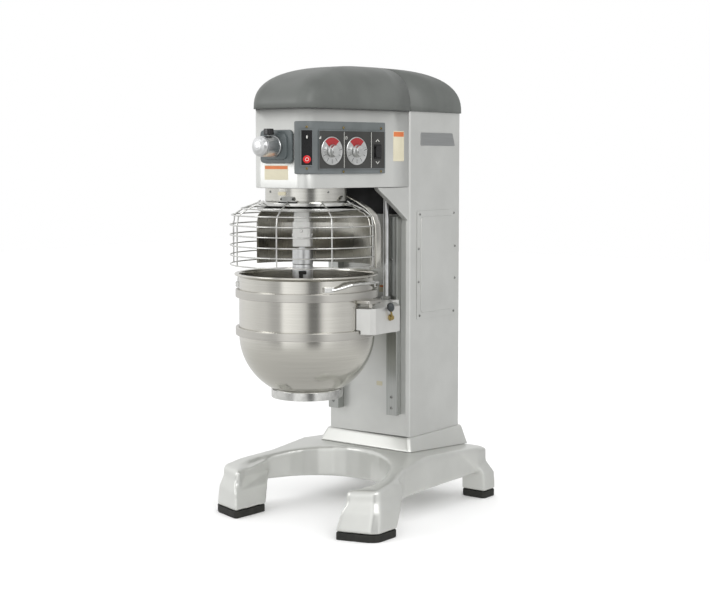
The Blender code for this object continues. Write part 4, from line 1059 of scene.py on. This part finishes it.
# The bands are the same steel, polished less, so they look greyer.
BAND_STEEL = brushed_steel("brushed_band_stainless", "#c0beb8", "#c9c7c1", 0.28, (260.0, 260.0, 5.0))
for word in ("upper", "lower"):
    low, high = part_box(f"bowl_band_{word}")
    top = high.z
    bottom = top - (band_high.z - band_low.z)
    strap = [(BOWL_R + 0.0004, bottom), (0.2800, bottom), (0.2800, top), (BOWL_R + 0.0004, top)]
    band = turn(softened(strap, 0.0022, 3, True), 144, True)
    bmesh.ops.transform(band, matrix=ON_AXIS, verts=band.verts)
    if word == "upper":
        for side in (1, -1):
            lug = block(0.066, 0.085, 0.013, 0.012, 0.003)
            join(band, lug, Matrix.Translation((side * 0.295, AXIS.y + 0.0105, low.z)))
            pin = turn(softened([(0, 0), (0.009, 0), (0.009, 0.018), (0, 0.020)], 0.0015, 2), 24)
            join(band, pin, Matrix.Translation((side * 0.305, AXIS.y + 0.010, low.z - 0.018)))
    fit(f"bowl_strap_{word}", band, [BAND_STEEL], "lift", [f"bowl_band_{word}"])

foot_low, foot_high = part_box("bowl_foot_ring")
foot = [(0.132, foot_low.z), (foot_high.x, foot_low.z)]
foot += [(foot_high.x, foot_high.z), (0.132, foot_high.z - 0.004)]
round_piece("bowl_foot", softened(foot, 0.0012, 2, True), BRIGHT, "lift", ["bowl_foot_ring"], "stainless")

# ---------------------------------------------------------------------------------------------
# Bowl handles: bent stainless bar standing off the side of the bowl between two welded blocks.

HANDLE_PATH = ((59, 0.277, 0.0), (62, 0.2785, 0.0), (67, 0.284, 0.006), (74, 0.297, 0.017))
HANDLE_PATH += ((82, 0.304, 0.020), (90, 0.306, 0.020))
HANDLE_BAR = 0.0062
handle_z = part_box("bowl_handle_right")[0].z + HANDLE_BAR


def wire_mesh(paths, radius, closed=False):
    """Round wire or bar along each path, as one shape."""
    curve = bpy.data.curves.new("wire", "CURVE")
    curve.dimensions = "3D"
    curve.bevel_depth = radius
    curve.bevel_resolution = 3
    curve.use_fill_caps = True
    for points in paths:
        spline = curve.splines.new("POLY")
        spline.points.add(len(points) - 1)
        for knot, point in zip(spline.points, points):
            knot.co = (*point, 1.0)
        spline.use_cyclic_u = closed
    carrier = bpy.data.objects.new("wire", curve)
    bpy.context.collection.objects.link(carrier)
    mesh = bpy.data.meshes.new_from_object(carrier)
    bm = bmesh.new()
    bm.from_mesh(mesh)
    bpy.data.objects.remove(carrier)
    bpy.data.curves.remove(curve)
    bpy.data.meshes.remove(mesh)
    return bm


for word, side in (("right", 1), ("left", -1)):
    there = [around(r, side * a, handle_z + rise) for a, r, rise in HANDLE_PATH]
    back = [around(r, side * (180 - a), handle_z + rise) for a, r, rise in reversed(HANDLE_PATH[:-1])]
    handle = wire_mesh([softened(there + back, 0.02, 5)], HANDLE_BAR)
    for degrees in (57, 123):
        foot = block(0.040, 0.020, 0.014, 0.003, 0.002)
        join(handle, foot, facing_out(BOWL_R, side * degrees, handle_z))
    fit(f"bowl_grip_{word}", handle, [BRIGHT], "lift", [f"bowl_handle_{word}"])

# ---------------------------------------------------------------------------------------------
# Splash shield: thin rolled stainless sheet that closes the back of the guard, fixed to the neck.

# Rolled stainless sheet, streaked upright, that mirrors the dark inside of the guard.
SHIELD_STEEL = brushed_steel("rolled_shield_stainless", "#c9c7c0", "#d2d0c9", 0.27, (6.0, 6.0, 200.0))
shield_low, shield_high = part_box("splash_shield")
shield_r = shield_high.x
side_wall = [(shield_r, shield_low.z), (shield_r, shield_low.z + 0.162)]
side_wall += [(shield_r - 0.008, shield_low.z + 0.196)]
side_wall += [(0.258, shield_low.z + 0.2185), (0.243, shield_low.z + 0.2235)]
side_wall += [(0.212, shield_high.z), (0.178, shield_high.z)]
shield = part_turn(softened(side_wall, 0.012, 4), 168, 72, False)
bmesh.ops.transform(shield, matrix=ON_AXIS, verts=shield.verts)
shield_piece = fit("rear_shield", shield, [SHIELD_STEEL], "machine", ["splash_shield"], 60.0)
thicken(shield_piece, 0.0014)

# ---------------------------------------------------------------------------------------------
# Bowl guard: stainless wire hoops welded to bent uprights, hooked over the neck track so that it
# swings round with its arm, a formed strap at the control side.

CAGE_R = 0.2995
CAGE_ROWS = ((0, 0.0), (0, 0.037), (0, 0.075), (0, 0.115), (0, 0.154), (0.006, 0.192), (0.044, 0.2175))
CAGE_POSTS = (98, 58, 17, -25, -62, -101)
CAGE_HOOK = ((0.215, 0.231), (0.196, 0.2375), (0.190, 0.244), (0.184, 0.2465))
cage_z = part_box("wire_cage")[0].z + 0.003
hoops = []
for inset, rise in CAGE_ROWS:
    sweep = [CAGE_POSTS[0] + (CAGE_POSTS[-1] - CAGE_POSTS[0]) * i / 72 for i in range(73)]
    hoops.append([around(CAGE_R - inset, degrees, cage_z + rise) for degrees in sweep])
cage = wire_mesh(hoops, 0.0028)
posts = []
for degrees in CAGE_POSTS:
    bent = [around(CAGE_R - inset - 0.0040, degrees, cage_z + rise) for inset, rise in CAGE_ROWS]
    bent += [around(r, degrees, cage_z + rise) for r, rise in CAGE_HOOK]
    posts.append(softened(bent, 0.02, 4))
join(cage, wire_mesh(posts, 0.0030))
fit("guard_cage", cage, [BRIGHT], "guard", ["wire_cage"], 60.0)

arm_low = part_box("guard_arm")[0]
STRAP_LINE = ((0.180, 0.274), (0.225, 0.252), (0.263, 0.229), (0.290, 0.203))
STRAP_LINE += ((0.3025, 0.168), (0.3052, 0.127), (0.3052, 0.0))
strap_path = [(r, arm_low.z + rise) for r, rise in STRAP_LINE]
strap = part_turn(softened(strap_path, 0.03, 5), 10, 6, False)
STRAP_MIDDLE = 103.5
to_strap = Matrix.Rotation(math.radians(STRAP_MIDDLE - 180), 4, "Z")
bmesh.ops.transform(strap, matrix=ON_AXIS @ to_strap, verts=strap.verts)
strap_piece = fit("guard_strap", strap, [STAINLESS], "guard", ["guard_arm"], 60.0)
thicken(strap_piece, 0.0035, 0.0)

# ---------------------------------------------------------------------------------------------
# Studio: a plain pale floor and an even white surround, with softer and brighter panels standing
# round it that only show as long upright reflections in the polished metal.

PANELS = ((-180, 1.12), (-158, 1.08), (-140, 0.96), (-125, 0.92), (-111, 0.66), (-97, 0.60), (-90, 1.55))
PANELS += ((-74, 1.35), (-62, 1.20), (-52, 0.85), (-46, 0.20), (-32, 0.20), (-24, 1.10), (-17, 1.30))
PANELS += ((-2, 1.00), (11, 0.85), (25, 0.85), (41, 0.66), (55, 0.50), (75, 0.42), (95, 0.70), (180, 1.12))
HEIGHTS = ((-1.0, 0.60), (-0.35, 0.78), (0.0, 0.90), (0.25, 1.0), (0.6, 0.98), (1.0, 0.95))

paper, tree, shader, place = new_finish("white_studio_paper", 0.9, 0.0)
shader.inputs["Base Color"].default_value = tone("#fbfbfb")
floor = bmesh.new()
bmesh.ops.create_grid(floor, x_segments=1, y_segments=1, size=14.0)
floor_mesh = bpy.data.meshes.new("studio_floor")
floor.to_mesh(floor_mesh)
floor.free()
floor_mesh.materials.append(paper)
studio_floor = bpy.data.objects.new("studio_floor", floor_mesh)
bpy.context.collection.objects.link(studio_floor)
studio_floor.visible_glossy = False


def stops(tree, factor, low, high, pairs):
    """A grey ramp with a stop for each (value, brightness) pair."""
    ramp = add_node(tree, "ShaderNodeValToRGB", {}, {"Fac": factor}).color_ramp
    while len(ramp.elements) < len(pairs):
        ramp.elements.new(1.0)
    for element, (value, grey) in zip(ramp.elements, pairs):
        element.position = (value - low) / (high - low)
        element.color = (grey / 2, grey / 2, grey / 2, 1.0)
    return tree.nodes[-1].outputs["Color"]


world = bpy.data.worlds.new("studio_surround")
world.use_nodes = True
bpy.context.scene.world = world
tree = world.node_tree
direction = add_node(tree, "ShaderNodeTexCoord", {}, {}).outputs["Generated"]
axes = add_node(tree, "ShaderNodeSeparateXYZ", {}, {"Vector": direction}).outputs
turn_node = add_node(tree, "ShaderNodeMath", {"operation": "ARCTAN2"}, {0: axes["Y"], 1: axes["X"]})
spread = {"Value": turn_node.outputs[0], "From Min": -math.pi, "From Max": math.pi}
bearing = add_node(tree, "ShaderNodeMapRange", {}, spread).outputs["Result"]
panels = stops(tree, bearing, -180, 180, PANELS)
spread = {"Value": axes["Z"], "From Min": -1.0, "From Max": 1.0}
height = add_node(tree, "ShaderNodeMapRange", {}, spread).outputs["Result"]
heights = stops(tree, height, -1, 1, HEIGHTS)
spread = {"Value": axes["Z"], "From Min": -0.12, "From Max": -0.45}
under = add_node(tree, "ShaderNodeMapRange", {}, spread).outputs["Result"]
as_vector = {"data_type": "VECTOR"}
fading = add_node(tree, "ShaderNodeMix", as_vector, {0: under, 4: panels, 5: (0.48, 0.48, 0.47)})
settings = {0: fading.outputs[1], 1: heights}
seen = add_node(tree, "ShaderNodeVectorMath", {"operation": "MULTIPLY"}, settings).outputs[0]
seen = add_node(tree, "ShaderNodeVectorMath", {"operation": "SCALE"}, {0: seen, "Scale": 4.0}).outputs[0]
even = add_node(tree, "ShaderNodeVectorMath", {"operation": "SCALE"}, {0: heights, "Scale": 2.4}).outputs[0]
rays = add_node(tree, "ShaderNodeLightPath", {}, {}).outputs
mixed = add_node(tree, "ShaderNodeMix", as_vector, {0: rays["Is Glossy Ray"], 4: even, 5: seen})
backed = {0: rays["Is Camera Ray"], 4: mixed.outputs[1]}
white = add_node(tree, "ShaderNodeMix", as_vector, backed)
white.inputs[5].default_value = (1.0, 1.0, 1.0)
tree.links.new(white.outputs[1], tree.nodes["Background"].inputs["Color"])


def soft_lamp(name, place, target, size, power, gloss):
    """A large square lamp that points at a target, with its share of the highlights."""
    lamp = bpy.data.lights.new(name, "AREA")
    lamp.specular_factor = gloss
    lamp.size = size
    lamp.energy = power
    stand = bpy.data.objects.new(name, lamp)
    bpy.context.collection.objects.link(stand)
    stand.location = place
    stand.rotation_euler = (Vector(target) - Vector(place)).to_track_quat("-Z", "Y").to_euler()


soft_lamp("key_lamp", (4.2, -2.2, 3.6), (0, 0, 0.9), 2.4, 60, 0.6)
soft_lamp("front_lamp", (-2.6, -4.6, 2.6), (0, -0.2, 1.0), 2.2, 45, 0.15)

# Camera: stands at the machine's right front corner at eye height and looks slightly down.

camera = bpy.data.cameras.new("camera")
viewer = bpy.data.objects.new("camera", camera)
bpy.context.collection.objects.link(viewer)
bpy.context.scene.camera = viewer
viewer.location = (3.5107, -4.5371, 1.4409)
viewer.rotation_euler = (math.radians(90 - 4.181), 0, math.radians(37.467))
camera.lens = 71.48
camera.sensor_width = 36
camera.shift_y = -0.0606
bpy.context.scene.view_settings.view_transform = "Standard"
